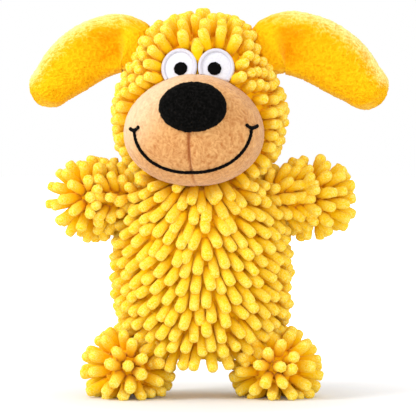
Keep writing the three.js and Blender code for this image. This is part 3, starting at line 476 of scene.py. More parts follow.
def muzzle_front(x, z):
    """How far ahead of the neck's axis the muzzle's skin is, seen from the front."""
    up = (z - MUZZLE_MIDDLE[2]) / MUZZLE_HALF[2]
    out = np.hypot(x / (1 - MUZZLE_JOWL * up) / MUZZLE_HALF[0], up)
    return -MUZZLE_MIDDLE[1] + MUZZLE_HALF[1] * swelling(out, MUZZLE_SQUARENESS)


def in_head(points, grown=0.0):
    """Whether points lie in the head, above the neck seam, or within a distance of it."""
    return (points[..., 2] > -grown) & (HEAD_BAG.grown(grown).depth(points) < 1)


def in_muzzle(points, grown=0.0):
    """Whether points lie in the muzzle, or within a distance of it."""
    return MUZZLE_BAG.grown(grown).depth(points) < 1


def ahead_of_head(points, gap):
    """Points that lie in the head, moved forward to its skin."""
    moved = points.copy()
    inside = in_head(points, gap)
    moved[inside, 1] = -head_front(points[inside, 0], points[inside, 2]) - gap
    return moved


# Noodles

def spread(roots, normals, ways, spacing):
    """Which of many points carry a noodle: one by one, each the farthest from those before it, until no
    point is a spacing away. Distance counts in spacings, one across the way that the pile lies and a longer
    one along it."""
    lie = ways - (ways * normals).sum(1, keepdims=True) * normals
    flat = np.linalg.norm(lie, axis=1)
    lie = unit(lie)
    across, along = spacing
    chosen = [0]
    nearest = np.full(len(roots), np.inf)
    while nearest[chosen[-1]] >= 1:
        last = chosen[-1]
        way = roots - roots[last]
        run = way @ lie[last]
        step = across + (along - across) * flat[last]
        aside = np.maximum(0, (way ** 2).sum(1) - run ** 2)
        nearest = np.minimum(nearest, np.sqrt(aside / across ** 2 + (run / step) ** 2))
        chosen.append(int(np.argmax(nearest)))
    return np.array(chosen[:-1])


def settled(roots, lie, seat, room, spacing):
    """Roots moved apart until their noodles lie evenly. Each noodle pushes on those whose points, at three
    quarters of their length, are within a range, measured across its lie and along it. A root stays on
    the skin, and it doesn't move to where it has no room."""
    across, along = spacing
    for _ in range(SETTLE_STEPS):
        normals, ways, length = lie(roots)
        points = roots + ways * length[:, None] * 0.75
        flow = ways - normals * (ways * normals).sum(1, keepdims=True)
        flow = unit(flow + 1e-4 * np.cross(normals, OBLIQUE))
        beside = np.cross(normals, flow)
        apart = points[:, None] - points[None]
        u = np.einsum("ijk,ik->ij", apart, flow) / along
        v = np.einsum("ijk,ik->ij", apart, beside) / across
        w = np.einsum("ijk,ik->ij", apart, normals) / across
        far = np.sqrt(u * u + v * v + w * w) + 1e-6
        push = np.maximum(0, SETTLE_RANGE - far) / far
        move = flow * (push * u).sum(1)[:, None] * along + beside * (push * v).sum(1)[:, None] * across
        moved = seat(roots + SETTLE_SHARE * move)
        roots = np.where(room(moved)[:, None], moved, roots)
    return roots


def ring_ways(rings, seed):
    """Directions in rings about the line of sight, each ring at equal steps round it and half a step on
    from the one before, all a little out of place."""
    draw = np.random.default_rng(seed)
    ways = []
    for number, (lean, count) in enumerate(rings):
        tilt = np.radians(lean + draw.normal(0, 2.5, count))
        turn = (np.arange(count) + 0.5 * (number % 2) + draw.normal(0, 0.07, count)) / count * 2 * math.pi
        ways.append(ways_round(tilt, turn))
    return np.concatenate(ways)


def planted(seat, lie, room, start, spacing, tip_spacing):
    """Roots, normals, directions and lengths of noodles all over a skin: many points on it, of which those
    that have room and are a spacing apart carry a noodle, moved until the tips lie evenly."""
    roots = seat(start + polar(90, 150)[1:-1].reshape(-1, 3))
    roots = roots[room(roots)]
    roots = roots[spread(roots, *lie(roots)[:2], spacing)]
    roots = settled(roots, lie, seat, room, tip_spacing)
    return roots, *lie(roots)


def halfway_and_tips(roots, lie):
    """Points of noodles about halfway and at their tips, where they stand as a lie says."""
    normals, ways, length = lie(roots)
    return roots + unit(normals + ways) * length[:, None] / 2, roots + ways * length[:, None]


SHAFT = np.array([0.0, 0.3, 0.55, 0.8, 1.0])  # rings of a noodle's shaft, as shares of it
SHAFT_SWELL = np.array([0.96, 0.97, 0.99, 1.02, 1.01])
TIP_ANGLES = np.radians([38.0, 68.0])
TIP_RISE = 0.75  # of a noodle's radius
TIP_BLUNTNESS = 0.55


def noodles(roots, normals, ways, length, seed, radius=NOODLE_RADIUS, lumpy=0.035):
    """Noodles as one skin. Each is a tube along a parabola from its root to a tip a length away in its own
    direction, which it leaves the cloth more upright than, with a round tip, a slight swell towards it, and
    lumps of its own."""
    draw = np.random.default_rng(seed)
    count = len(roots)
    long = (length * draw.uniform(0.92, 1.06, count))[:, None]
    thick = radius * draw.uniform(0.95, 1.05, count)[:, None]
    ends = unit(ways + draw.normal(0, NOODLE_STRAY, (count, 3)))
    shaft = long - TIP_RISE * thick
    dome = shaft + TIP_RISE * thick * np.sin(TIP_ANGLES)
    along = np.concatenate([shaft * SHAFT, dome, long], axis=1) / long
    swell = np.concatenate([SHAFT_SWELL, np.cos(TIP_ANGLES) ** TIP_BLUNTNESS])
    rings = len(swell)
    on_shaft = np.where(np.arange(rings) < len(SHAFT), 1, 0.3)[:, None]
    lumps = 1 + lumpy * on_shaft * draw.normal(0, 1, (count, rings, 1))
    lumps = lumps + 0.03 * draw.normal(0, 1, (count, rings, NOODLE_SIDES))
    start = roots - normals * NOODLE_ROOT
    bend = roots + (0.55 * normals + 0.45 * ends) * long * 0.45
    tip = roots + ends * long
    t = along[..., None]
    line = start[:, None] * (1 - t) ** 2 + bend[:, None] * 2 * t * (1 - t) + tip[:, None] * t ** 2
    tangent = unit((bend - start)[:, None] * (1 - t) + (tip - bend)[:, None] * t)
    side = np.cross(normals, ends)
    spare = np.cross(normals, OBLIQUE)
    side = unit(np.where(np.linalg.norm(side, axis=1, keepdims=True) > 0.05, side, spare))
    other = np.cross(tangent[:, :rings], side[:, None])
    turn = round_turn(NOODLE_SIDES)
    reach = (thick * swell)[:, :, None] * lumps
    across = side[:, None, None] * np.cos(turn)[:, None] + other[:, :, None] * np.sin(turn)[:, None]
    tubes = line[:, :rings, None] + across * reach[..., None]
    points = np.concatenate([tubes.reshape(count, -1, 3), line[:, -1:]], axis=1)
    each = points.shape[1]
    index = np.arange(rings * NOODLE_SIDES).reshape(rings, NOODLE_SIDES)
    last = index[-1].tolist()
    fan = [[a, b, each - 1] for a, b in zip(last, last[1:] + last[:1])]
    one = strips(index).reshape(-1, 4).tolist() + fan + [index[0][::-1].tolist()]
    faces = [[v + n * each for v in face] for n in range(count) for face in one]
    share = np.concatenate([np.repeat(along[:, :rings], NOODLE_SIDES, axis=1), along[:, -1:]], axis=1)
    tint = np.repeat(draw.uniform(0, 1, count)[:, None], each, axis=1)
    return Skin(points.reshape(-1, 3), faces, along=share.reshape(-1), tint=tint.reshape(-1))


# Shader groups

def group(name, inputs, outputs):
    """A new shader group with float or colour sockets, and its input and output nodes."""
    made = bpy.data.node_groups.new(name, "ShaderNodeTree")
    for way, sockets in (("INPUT", inputs), ("OUTPUT", outputs)):
        for label, value in sockets.items():
            kind = "NodeSocketColor" if isinstance(value, tuple) else "NodeSocketFloat"
            socket = made.interface.new_socket(label, in_out=way, socket_type=kind)
            if way == "INPUT":
                socket.default_value = value
    return made, made.nodes.new("NodeGroupInput"), made.nodes.new("NodeGroupOutput")


def link_node(tree, kind, links=None, **settings):
    """A node with its settings, and its inputs linked or set by name or number."""
    node = tree.nodes.new(kind)
    for label, value in settings.items():
        setattr(node, label, value)
    for label, value in (links or {}).items():
        if isinstance(value, bpy.types.NodeSocket):
            tree.links.new(value, node.inputs[label])
        else:
            node.inputs[label].default_value = value
    return node


def maths(tree, operation, *values, **settings):
    """What comes of a sum on sockets or numbers."""
    node = link_node(tree, "ShaderNodeMath", dict(enumerate(values)), operation=operation, **settings)
    return node.outputs[0]


def between(tree, share, first, second, kind="FLOAT"):
    """A number or a colour between two, by a share."""
    a, b, result = {"FLOAT": (2, 3, 0), "RGBA": (6, 7, 2)}[kind]
    return link_node(tree, "ShaderNodeMix", {0: share, a: first, b: second}, data_type=kind).outputs[result]


def mapped(tree, value, low, high, to_low=0.0, to_high=1.0, **settings):
    """A number taken from one range to another."""
    links = {"Value": value, "From Min": low, "From Max": high, "To Min": to_low, "To Max": to_high}
    return link_node(tree, "ShaderNodeMapRange", links, **settings).outputs["Result"]


def noised(tree, scale, **links):
    """Noise over the toy, with so many cells to a metre."""
    where = link_node(tree, "ShaderNodeTexCoord").outputs["Object"]
    return link_node(tree, "ShaderNodeTexNoise", {"Vector": where, "Scale": scale, **links}).outputs["Fac"]


def on_mesh(tree, name):
    """A value that the mesh carries at its vertices."""
    return link_node(tree, "ShaderNodeAttribute", attribute_name=name).outputs["Fac"]


def nap_group():
    """Nap: fine clumped fibre. Height and Shade come from a warped noise at Size (in metres) and a finer
    one."""
    tree, given, out = group("nap", {"Size": 0.002, "Warp": 0.6, "Fine": 0.5}, {"Height": 0.0, "Shade": 0.0})
    scale = maths(tree, "DIVIDE", 1.0, given.outputs["Size"])
    clumps = noised(tree, scale, Detail=2.0, Roughness=0.6, Distortion=given.outputs["Warp"])
    fibres = noised(tree, maths(tree, "MULTIPLY", scale, 3.7), Detail=1.0, Distortion=0.4)
    height = between(tree, given.outputs["Fine"], clumps, fibres)
    tree.links.new(height, out.inputs["Height"])
    tree.links.new(mapped(tree, height, 0.32, 0.68), out.inputs["Shade"])
    return tree


def tone_group():
    """Tone: a colour from Deep to Light by Shade, with slow drifts of dye over a few centimetres."""
    sockets = {"Shade": 0.5, "Deep": (0.5, 0.5, 0.5, 1), "Light": (1, 1, 1, 1), "Drift": 0.2}
    tree, given, out = group("tone", sockets, {"Color": (1, 1, 1, 1)})
    slow = maths(tree, "SUBTRACT", noised(tree, 38.0, Detail=2.0), 0.5)
    shift = maths(tree, "MULTIPLY", slow, given.outputs["Drift"])
    share = maths(tree, "ADD", given.outputs["Shade"], shift, use_clamp=True)
    colour = between(tree, share, given.outputs["Deep"], given.outputs["Light"], "RGBA")
    tree.links.new(colour, out.inputs["Color"])
    return tree


NAP = nap_group()
TONE = tone_group()
WHITE = (255, 255, 255)


def linear(colour):
    """A colour given as it looks on a screen, 0 to 255, as linear light."""
    share = np.array(colour) / 255
    light = np.where(share <= 0.04045, share / 12.92, ((share + 0.055) / 1.055) ** 2.4)
    return (*light.tolist(), 1.0)


def finish(name, roughness, sheen=0.0, sheen_tint=WHITE, sheen_roughness=0.5):
    """A new material with a Principled surface, and that node's tree."""
    made = bpy.data.materials.new(name)
    made.use_nodes = True
    surface = made.node_tree.nodes["Principled BSDF"]
    values = {"Roughness": roughness, "Specular IOR Level": 0.06, "Sheen Weight": sheen,
              "Sheen Tint": linear(sheen_tint), "Sheen Roughness": sheen_roughness}
    for label, value in values.items():
        surface.inputs[label].default_value = value
    return made, made.node_tree, surface


def nap_of(tree, size, warp, fine):
    """The Shade and Height of a nap."""
    nap = link_node(tree, "ShaderNodeGroup", {"Size": size, "Warp": warp, "Fine": fine}, node_tree=NAP)
    return nap.outputs["Shade"], nap.outputs["Height"]


def toned(tree, shade, deep, light, drift):
    """The colour of a tone between two screen colours."""
    links = {"Shade": shade, "Deep": linear(deep), "Light": linear(light), "Drift": drift}
    return link_node(tree, "ShaderNodeGroup", links, node_tree=TONE).outputs["Color"]


def dressed(tree, surface, colour, height, relief):
    """A surface with its colour, and a height in relief, in metres."""
    bump = link_node(tree, "ShaderNodeBump", {"Height": height, "Distance": relief, "Strength": 1.0})
    tree.links.new(colour, surface.inputs["Base Color"])
    tree.links.new(bump.outputs["Normal"], surface.inputs["Normal"])


def napped(name, deep, light, size, relief, fine=0.5, warp=0.6, drift=0.25, sheen=0.3, sheen_tint=WHITE,
           modelled=0.0, pale=None):
    """A pile or felt: nap in relief, deep colour between the fibres and light colour on them. A share of
    the tone may come from pile that is modelled on the mesh, which on the ears also carries painted shade
    and a painted highlight. A colour may be given for a painted highlight, laid on where the mesh asks."""
    made, tree, surface = finish(name, 1.0, sheen, sheen_tint, 0.4)
    shade, height = nap_of(tree, size, warp, fine)
    if modelled:
        shade = between(tree, modelled, shade, on_mesh(tree, "pile"))
    colour = toned(tree, shade, deep, light, drift)
    # Painted highlight: the colour turns towards the highlight colour where the mesh asks, more on lighter
    # nap.
    if pale:
        share = maths(tree, "MULTIPLY", on_mesh(tree, "pale"), maths(tree, "MULTIPLY_ADD", shade, 0.5, 0.5))
        colour = between(tree, share, colour, linear(pale), "RGBA")
    dressed(tree, surface, colour, height, relief)
    return made


def noodle_finish():
    """Chenille: painted shade deepens the colour towards the root of each noodle, each has its own tint,
    its tip is frosted, partly as paler fibre and partly as a painted highlight, and the nap is short and
    thick."""
    made, tree, surface = finish("noodle_chenille", 1.0, 0.2, (255, 246, 170), 0.4)
    along = on_mesh(tree, "along")
    nap, height = nap_of(tree, 0.0014, 0.8, 0.4)
    # Painted shade: the colour deepens from the tip to the root, where the noodles shade each other.
    rise = mapped(tree, along, 0.0, 0.75, interpolation_type="SMOOTHSTEP")
    own = maths(tree, "MULTIPLY_ADD", on_mesh(tree, "tint"), 0.22, -0.11)
    pile = maths(tree, "MULTIPLY_ADD", nap, 0.5, own)
    tone = toned(tree, maths(tree, "MULTIPLY_ADD", rise, 0.7, pile), (255, 190, 0), (255, 209, 8), 0.2)
    # Frosted tips: partly paler fibre and partly a painted highlight.
    speckled = maths(tree, "MULTIPLY_ADD", nap, 1.8, -0.6, use_clamp=True)
    frost_and_painted_highlight = maths(tree, "MULTIPLY", mapped(tree, along, 0.45, 1.0, 0.02, 0.95), speckled)
    colour = between(tree, frost_and_painted_highlight, tone, linear((255, 246, 150)), "RGBA")
    dressed(tree, surface, colour, height, 0.0004)
    return made


def thread_finish(name, deep, light, roughness, sheen=0.2):
    """Embroidery thread: fine strands across each stitch."""
    made, tree, surface = finish(name, roughness, sheen)
    strands = noised(tree, 2600.0, Detail=1.0, Distortion=1.5)
    dressed(tree, surface, toned(tree, strands, deep, light, 0.2), strands, 0.0002)
    return made


def plastic_finish(name, deep, light, roughness):
    """Moulded plastic: a faint cloudiness and a fine orange-peel surface."""
    made, tree, surface = finish(name, roughness)
    shade, height = nap_of(tree, 0.0012, 0.0, 0.2)
    dressed(tree, surface, toned(tree, shade, deep, light, 0.5), height, 0.00004)
    return made


CHENILLE = noodle_finish()
# The ear and muzzle piles take a painted highlight colour, laid on where their meshes ask.
EAR_PILE = napped("ear_pile", (241, 157, 0), (255, 207, 20), 0.0010, 0.0003, fine=0.35, warp=1.2, sheen=0.2,
                  sheen_tint=(255, 246, 170), modelled=0.7, pale=(255, 252, 170))
MUZZLE_PILE = napped("muzzle_pile", (176, 96, 36), (247, 194, 126), 0.0010, 0.0004, drift=0.3, sheen=0.6,
                     sheen_tint=(255, 238, 220), modelled=0.65, pale=(255, 228, 188))
NOSE_PILE = napped("nose_pile", (1, 1, 0), (28, 26, 25), 0.0012, 0.0006, fine=0.3, sheen=0.01, modelled=0.9)
WHITE_FELT = napped("white_felt", (214, 213, 221), (236, 235, 241), 0.0014, 0.0003, sheen=0.2)
BLACK_FELT = napped("black_felt", (2, 2, 2), (14, 14, 14), 0.0012, 0.0003, sheen=0.02)
FIBRE_FILL = napped("fibre_fill", (224, 222, 214), (250, 249, 246), 0.006, 0.003, fine=0.3, warp=2.0)
WHITE_THREAD = thread_finish("white_thread", (206, 204, 215), (232, 231, 240), 0.6)
BLACK_THREAD = thread_finish("black_thread", (1, 1, 1), (11, 9, 9), 0.9, sheen=0.02)
BULB_PLASTIC = plastic_finish("bulb_plastic", (222, 226, 226), (240, 243, 243), 0.4)
REED_PLASTIC = plastic_finish("reed_plastic", (208, 212, 216), (226, 230, 232), 0.35)
REED_FILM = plastic_finish("reed_film", (176, 186, 192), (198, 206, 212), 0.25)


# Stuffing by simulation

STUFF_FRAMES = 20
STUFF_SETTINGS = {
    "quality": 6, "mass": 0.2, "use_pressure": True, "uniform_pressure_force": 4.0, "tension_stiffness": 12,
    "compression_stiffness": 12, "bending_stiffness": 0.4, "vertex_group_mass": "held"}


def read(items, label, width=1):
    """One value, or several, of each of a mesh's items, as an array."""
    values = np.empty(len(items) * width)
    items.foreach_get(label, values)
    return values.reshape(-1, width) if width > 1 else values


def evaluated(made):
    """The mesh of an object as its modifiers leave it."""
    return made.evaluated_get(bpy.context.evaluated_depsgraph_get()).to_mesh()


def stuffed(name, skin, place, cap, held):
    """A closed form blown up as stuffing fills a cover: Cloth with pressure and no gravity, each point
    moved by at most cap millimetres, then subdivided. Vertices where held is 1 stay. Gives back the skin
    and its normals, in the part's own frame."""
    made = mesh_object(name, outward(skin), place)
    mesh = made.data
    rest = read(mesh.vertices, "co", 3)
    pinned = made.vertex_groups.new(name="held")
    pinned.add(np.flatnonzero(held > 0.5).tolist(), 1.0, "REPLACE")
    cloth = made.modifiers.new("stuffing", "CLOTH")
    for label, value in STUFF_SETTINGS.items():
        setattr(cloth.settings, label, value)
    cloth.settings.effector_weights.gravity = 0
    for number in range(1, STUFF_FRAMES + 1):
        bpy.context.scene.frame_set(number)
    move = read(evaluated(made).vertices, "co", 3) - rest
    length = np.linalg.norm(move, axis=1, keepdims=True)
    move = np.nan_to_num(move * np.minimum(1, cap * MM / np.maximum(length, 1e-9)))
    made.modifiers.remove(cloth)
    bpy.context.scene.frame_set(1)
    mesh.vertices.foreach_set("co", (rest + move).ravel())
    mesh.update()
    finer = made.modifiers.new("finer", "SUBSURF")
    finer.levels = finer.render_levels = 3
    dense = evaluated(made)
    points, normals = read(dense.vertices, "co", 3), read(dense.vertices, "normal", 3)
    values = {label: read(dense.attributes[label].data, "value") for label in skin.values}
    faces = place.facing([list(polygon.vertices) for polygon in dense.polygons])
    made.evaluated_get(bpy.context.evaluated_depsgraph_get()).to_mesh_clear()
    bpy.data.objects.remove(made)
    bpy.data.meshes.remove(mesh)
    return Skin(place.back(points / MM), faces, **values), normals @ place.turn


# Torso

def torso_front(x, z):
    """How far ahead of the neck's axis the torso's skin is, seen from the front."""
    return TORSO_HALF[1] * np.sqrt(np.maximum(0, torso_round(z) - (x / TORSO_HALF[0]) ** 2))


def belly_share(points):
    """How far out of the belly's oval a point is, seen from the front: 1 on its seam."""
    return np.hypot(points[..., 0] / BELLY_HALF[0], (points[..., 2] - BELLY_MIDDLE) / BELLY_HALF[1])


def matted(points):
    """Points of the torso's skin raised along its normals to where the feet of the pile mat together. They
    mat less towards the neck and the underside."""
    rise = PILE_GROUND * (1 - 0.88 * smoothstep(np.abs(points[..., 2] - BELLY_MIDDLE), *MATTED))
    return points + rise[..., None] * TORSO_BAG.normals(points)


def belly_cloth():
    """The belly panel: a thin lens with an oval outline whose front follows the torso's bag."""
    reach = np.linspace(0, 1, 12)[:, None] - 0.01
    turn = round_turn(48)
    x = (BELLY_HALF[0] - SEAM) * reach * np.cos(turn)
    z = BELLY_MIDDLE + (BELLY_HALF[1] - SEAM) * reach * np.sin(turn)
    skin = xyz(x, -torso_front(x, z), z)
    return wound(np.concatenate([matted(skin), skin[::-1] + [0, FABRIC, 0]]))


def off_the_hips(points):
    """Points of the torso in the way of a leg's round end, moved along x to where they clear it."""
    moved = points.copy()
    for word, side in SIDES.items():
        hip = TORSO.back(HIPS[word])
        room = HIP_RADIUS + 0.5
        across = room ** 2 - (points[:, 1] - hip[1]) ** 2 - (points[:, 2] - hip[2]) ** 2
        limit = hip[0] - side * np.sqrt(np.maximum(0, across))
        blocked = (across > 0) & (side * (points[:, 0] - limit) > 0)
        moved[blocked, 0] = limit[blocked]
    return moved


def back_cloth():
    """The rest of the torso's cover: a shell from the belly's seam round to the middle of the back, and
    flat at the neck."""
    turn = round_turn(48)
    x = BELLY_HALF[0] * np.cos(turn)
    z = BELLY_MIDDLE + BELLY_HALF[1] * np.sin(turn)
    seam = unit(xyz(x, -torso_front(x, z), z) - TORSO_MIDDLE)
    tilt = np.arccos(-seam[:, 1])
    aside = np.arctan2(seam[:, 2], seam[:, 0])
    share = np.linspace(1, 0, 24)[:, None]
    angle = tilt + (math.pi - tilt) * share
    ways = ways_round(angle, aside)
    outer = matted(TORSO_BAG.skin(ways))
    inner = TORSO_BAG.grown(-FABRIC).skin(ways)[::-1]
    neck = TORSO.back(NECK)[2]
    outer[..., 2] = np.minimum(outer[..., 2], neck)
    inner[..., 2] = np.minimum(inner[..., 2], neck - FABRIC)
    cloth = wound(np.concatenate([outer, inner]))
    cloth.points = off_the_hips(cloth.points)
    return cloth


def line_distance(points, start, end):
    """Distance of points from the line between two ends."""
    way = end - start
    share = np.clip((points - start) @ way / (way @ way), 0, 1)
    return np.linalg.norm(points - start - share[:, None] * way, axis=1)


def torso_lie(roots):
    """Normals, directions and lengths of noodles at roots on the torso. The pile is brushed down from the
    middle of the chest and fans out to the sides; under the chin it lies flat."""
    normals = TORSO_BAG.normals(roots)
    aside = roots[:, 0] / FLANK
    back = -0.6 * aside ** 2 * np.sign(10 - roots[:, 1])
    fan = np.clip(aside * (1 + 0.6 * smoothstep(roots[:, 2], 40, 85)), -1.7, 1.7)
    down = 1 - 0.85 * smoothstep(normals[:, 2], 0.1, 0.8) - 0.5 * smoothstep(-normals[:, 2], 0.1, 0.6)
    brushed = xyz(fan, back, -down)
    lift = 0.85 - 0.5 * smoothstep(np.abs(roots[:, 0]), FLANK / 2, FLANK)
    ways = unit(lift[:, None] * normals + brushed)
    pressed = (smoothstep(roots[:, 2], *CHIN) * (roots[:, 1] < 5))[:, None]
    ways = unit(ways * (1 - pressed) + pressed * (brushed - [0, 0.75, 0]))
    normals = unit(normals * (1 - pressed) + pressed * ways)
    return normals, ways, NOODLE_LENGTH * (1 - 0.14 * smoothstep(np.abs(roots[:, 0]), 30, 46))


def torso_room(roots):
    """Where a noodle may stand on the torso: below the neck, clear of the head and muzzle, arms, legs and
    floor."""
    middles, tips = halfway_and_tips(roots, torso_lie)
    free = (roots[:, 2] < TORSO.back(NECK)[2] - 2) & (tips[:, 2] > LOWEST_TIP)
    for p in (middles, tips):
        by_head = HEAD.back(TORSO(p))
        free &= ~in_head(by_head, 2.5) & ~in_muzzle(by_head, 1.0)
    for word, side in SIDES.items():
        shoulder, hip = TORSO.back(SHOULDERS[word]), TORSO.back(HIPS[word])
        passage = np.array([side * ARM_PASSAGE, 0, 0])
        free &= line_distance(roots, shoulder - passage, shoulder + passage) > ARM_ROOT
        foot = hip + FOOT_FROM_HIP * [side, 1, 1]
        free &= line_distance(roots, hip, foot) > STUB_RADIUS + 1
        free &= line_distance(tips, hip, foot) > STUB_RADIUS + 2
    return free


def make_torso():
    """The torso's two noodle covers: the belly panel, and the rest of it."""
    stand = planted(TORSO_BAG.seat, torso_lie, torso_room, TORSO_MIDDLE, TORSO_SPACING, TIP_SPACING)
    roots = stand[0]
    on_belly = (belly_share(roots) < 1) & (roots[:, 1] < 0)
    back = noodles(*(value[~on_belly] for value in stand), seed=12)
    belly = noodles(*(value[on_belly] for value in stand), seed=13)
    noodle_cover("torso_back_cover", back_cloth(), back, TORSO, "torso", ["torso_back_panel"])
    # The belly's seam and front are given as its bend, which only leaves the cover unattached.
    seam, front = TORSO([[0, -BELLY_SEAM_DEPTH, 0], [0, -BELLY_FRONT_DEPTH, 0]])
    noodle_cover("belly_cover", belly_cloth(), belly, TORSO, "belly", ["torso_front_panel"],
                 ("torso", seam, front))


def torso_wad(name, behind, node):
    """One of the two wads of the torso: half of the bag, with a hollow for half of the squeaker's bulb."""
    skin = wound(TORSO_BAG.grown(-LINING - WAD_GAP).skin(polar(40, 48)))
    p = off_the_hips(skin.points)
    p[:, 2] = np.minimum(p[:, 2], TORSO.back(NECK)[2] - FABRIC - 0.5)
    out = np.hypot(p[:, 0], p[:, 2] - BULB_RISE)
    hollow = (BULB_HALF[1] + 1) * swelling(out / (BULB_HALF[0] + 1), BULB_SQUARENESS)
    if behind:
        hollow = np.where(out < BULB_NECK + 4, BULB_HALF[1] + BULB_NECK_LENGTH + 3, hollow)
        p[:, 1] = np.maximum(p[:, 1], -BULB_FORWARD + (0.2 + hollow))
    else:
        p[:, 1] = np.minimum(p[:, 1], -BULB_FORWARD - (0.2 + hollow))
    p += 0.25 * noise(p, 6.0)[:, None]
    return stuffing(0.7, name, Skin(p, skin.faces), TORSO, "torso", node)


def make_squeaker():
    """The two wads, the bulb between them, and the finish of the reed's three parts."""
    front = torso_wad("belly_wad", False, "belly_wadding")
    torso_wad("back_wad", True, "back_wadding")
    split = TORSO([0, -BULB_FORWARD, 0])[1]
    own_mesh(front)
    # The bulb is a profile turned about the line of sight: its outside from the front to the neck, and its
    # inside back.
    t = np.linspace(-math.pi / 2, math.pi / 2, 25)
    swell = np.cos(t) ** (2 / BULB_SQUARENESS)
    rise = np.sign(np.sin(t)) * np.abs(np.sin(t)) ** (2 / BULB_SQUARENESS)
    walls = []
    for inset in (0, BULB_WALL):
        neck = BULB_NECK + BULB_WALL - inset
        line = np.stack([(BULB_HALF[0] - inset) * swell, (BULB_HALF[1] - inset) * rise], axis=1)
        line = line[(t < 0) | (line[:, 0] > neck + 1)]
        stem = [[neck, BULB_HALF[1] - inset], [neck, BULB_HALF[1] + BULB_NECK_LENGTH]]
        walls.append(np.concatenate([line, stem]))
    profile = np.concatenate([walls[0], walls[1][::-1]])
    turn = round_turn(40)
    form = xyz(profile[:, :1] * np.cos(turn), profile[:, 1:], profile[:, :1] * np.sin(turn))
    bulb = piece("squeaker_bulb_soft", wound(form + [0, -BULB_FORWARD, BULB_RISE]), TORSO, "torso",
                 BULB_PLASTIC, ["squeaker_bulb"], "bulb_plastic")
    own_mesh(bulb)
    for node, material in (("reed_base", REED_PLASTIC), ("reed_clamp", REED_PLASTIC), ("reed", REED_FILM)):
        solid = frame["nodes"][f"squeaker_{node}"]
        solid.data.materials.clear()
        solid.data.materials.append(material)


# Head

EYE_SLOPE = turn_about(0, -math.radians(EYE_TILT))


def eye_place(word):
    """Where an eye sits on the head: on its skin, looking up and outwards."""
    side = SIDES[word]
    x, z = EYE_PLACE[word]
    turn = EYE_SLOPE @ turn_about(2, side * math.radians(EYE_SPLAY))
    return HEAD.then([side * x, -float(head_front(x, z)) - 0.3, z], turn)


def eye_share(points, word, grown=0):
    """How far out of an eye's oval points are, seen from the front: 1 on its edge, which may be grown."""
    x, z = EYE_PLACE[word]
    across = (points[:, 0] - SIDES[word] * x) / (EYE_HALF[0] + grown)
    return np.hypot(across, (points[:, 2] - z) / (EYE_HALF[1] + grown))


def head_lie(roots):
    """Normals, directions and lengths of noodles at roots on the head. They stand up on the crown, lean
    forward round the face and away from the eyes and the muzzle, and hang at the back."""
    normals = HEAD_BAG.normals(roots)
    left_side = smoothstep(roots[:, 0], 15, 40)
    forward = 0.6 * (1 - smoothstep(normals[:, 2], 0.3, 0.9)) + 0.1 * left_side
    upper_side = smoothstep(roots[:, 2], 50, 68) * smoothstep(np.abs(roots[:, 0]), 26, 40)
    forward = (forward + 0.35 * upper_side) * (1 - smoothstep(roots[:, 1], 8, 24))
    hang = 0.6 * smoothstep(roots[:, 1], 8, 30)
    ways = normals - xyz(0, forward, hang)
    on_face = roots[:, 1] < 0
    brow = on_face.astype(float)
    for word, side in SIDES.items():
        x, z = EYE_PLACE[word]
        from_eye = (roots - [side * x, 0, z]) * [1, 0, 1]
        share = eye_share(roots, word)
        ways += (on_face * 0.8 * (1 - smoothstep(share, 1.0, 1.7)))[:, None] * unit(from_eye)
        brow *= 1 - smoothstep(share, 1.4, 1.9)
    ways += brow[:, None] * [0, 1.5, 1.5]
    around = unit((roots - MUZZLE_MIDDLE) * [1, 0, 1])
    near_muzzle = in_muzzle(roots + ways * 6, 8) & (roots[:, 1] < 10)
    ways = unit(ways + around * near_muzzle[:, None] - [0.12, 0, 0])
    return normals, ways, HEAD_NOODLE_LENGTH * (1 - 0.22 * upper_side - 0.2 * left_side)


def head_room(roots):
    """Where a noodle may stand on the head: clear of the eyes, ears, muzzle and torso."""
    middles, tips = halfway_and_tips(roots, head_lie)
    free = roots[:, 2] > 3
    behind = roots[:, 1] >= 0
    for word in SIDES:
        free &= behind | (eye_share(roots, word) > 1.05)
        free &= behind | (eye_share(middles, word, EYE_ROOM) > 1) & (eye_share(tips, word, EYE_ROOM) > 1)
        ear = roots - EAR_ROOTS[word]
        width = np.hypot(ear[:, 0], ear[:, 2]) / (EAR_LINE[0, 2] - 1)
        free &= np.hypot(ear[:, 1] / (EAR_HALF_THICKNESS + 1), width) > 1
    for p in (middles, tips):
        free &= TORSO_BAG.grown(4).depth(TORSO.back(HEAD(p))) > 1
    for p, gap in ((roots, 0.0), (middles, 1.2), (tips, 1.8)):
        free &= ~in_muzzle(p + [1.2, 0, 0], gap)
    return free


def make_head():
    """The head's noodle cover, flat at the neck, and the fibre in it."""
    cloth = wound(HEAD_BAG.skin(polar(36, 48)))
    cloth.points[:, 2] = np.maximum(cloth.points[:, 2], SEAM)
    stand = planted(HEAD_BAG.seat, head_lie, head_room, HEAD_MIDDLE, HEAD_SPACING, HEAD_TIP_SPACING)
    tufts = noodles(*stand, seed=22, lumpy=0.06)
    noodle_cover("head_cover", cloth, tufts, HEAD, "head", ["head_front_panel", "head_back_panel"])
    fill = wound(HEAD_BAG.grown(-LINING).skin(polar(30, 40)))
    fill.points[:, 2] = np.maximum(fill.points[:, 2], SEAM + LINING)
    stuffing(0.9, "head_fill", fill, HEAD, "head", "head_stuffing")


def muzzle_form(inset, rows, columns):
    """The muzzle's bag, wider below, with what would lie in the head laid against the head's skin."""
    p = MUZZLE_BAG.grown(-inset).skin(polar(rows, columns)).reshape(-1, 3)
    p[:, 0] *= 1 - MUZZLE_JOWL * (p[:, 2] - MUZZLE_MIDDLE[2]) / MUZZLE_HALF[2]
    p[:, 0] -= 2.2 * smoothstep(p[:, 1], -74, -42)  # it bulges a little more to the dog's right
    return wound(ahead_of_head(p, 0.4 + inset).reshape(rows, columns, 3))


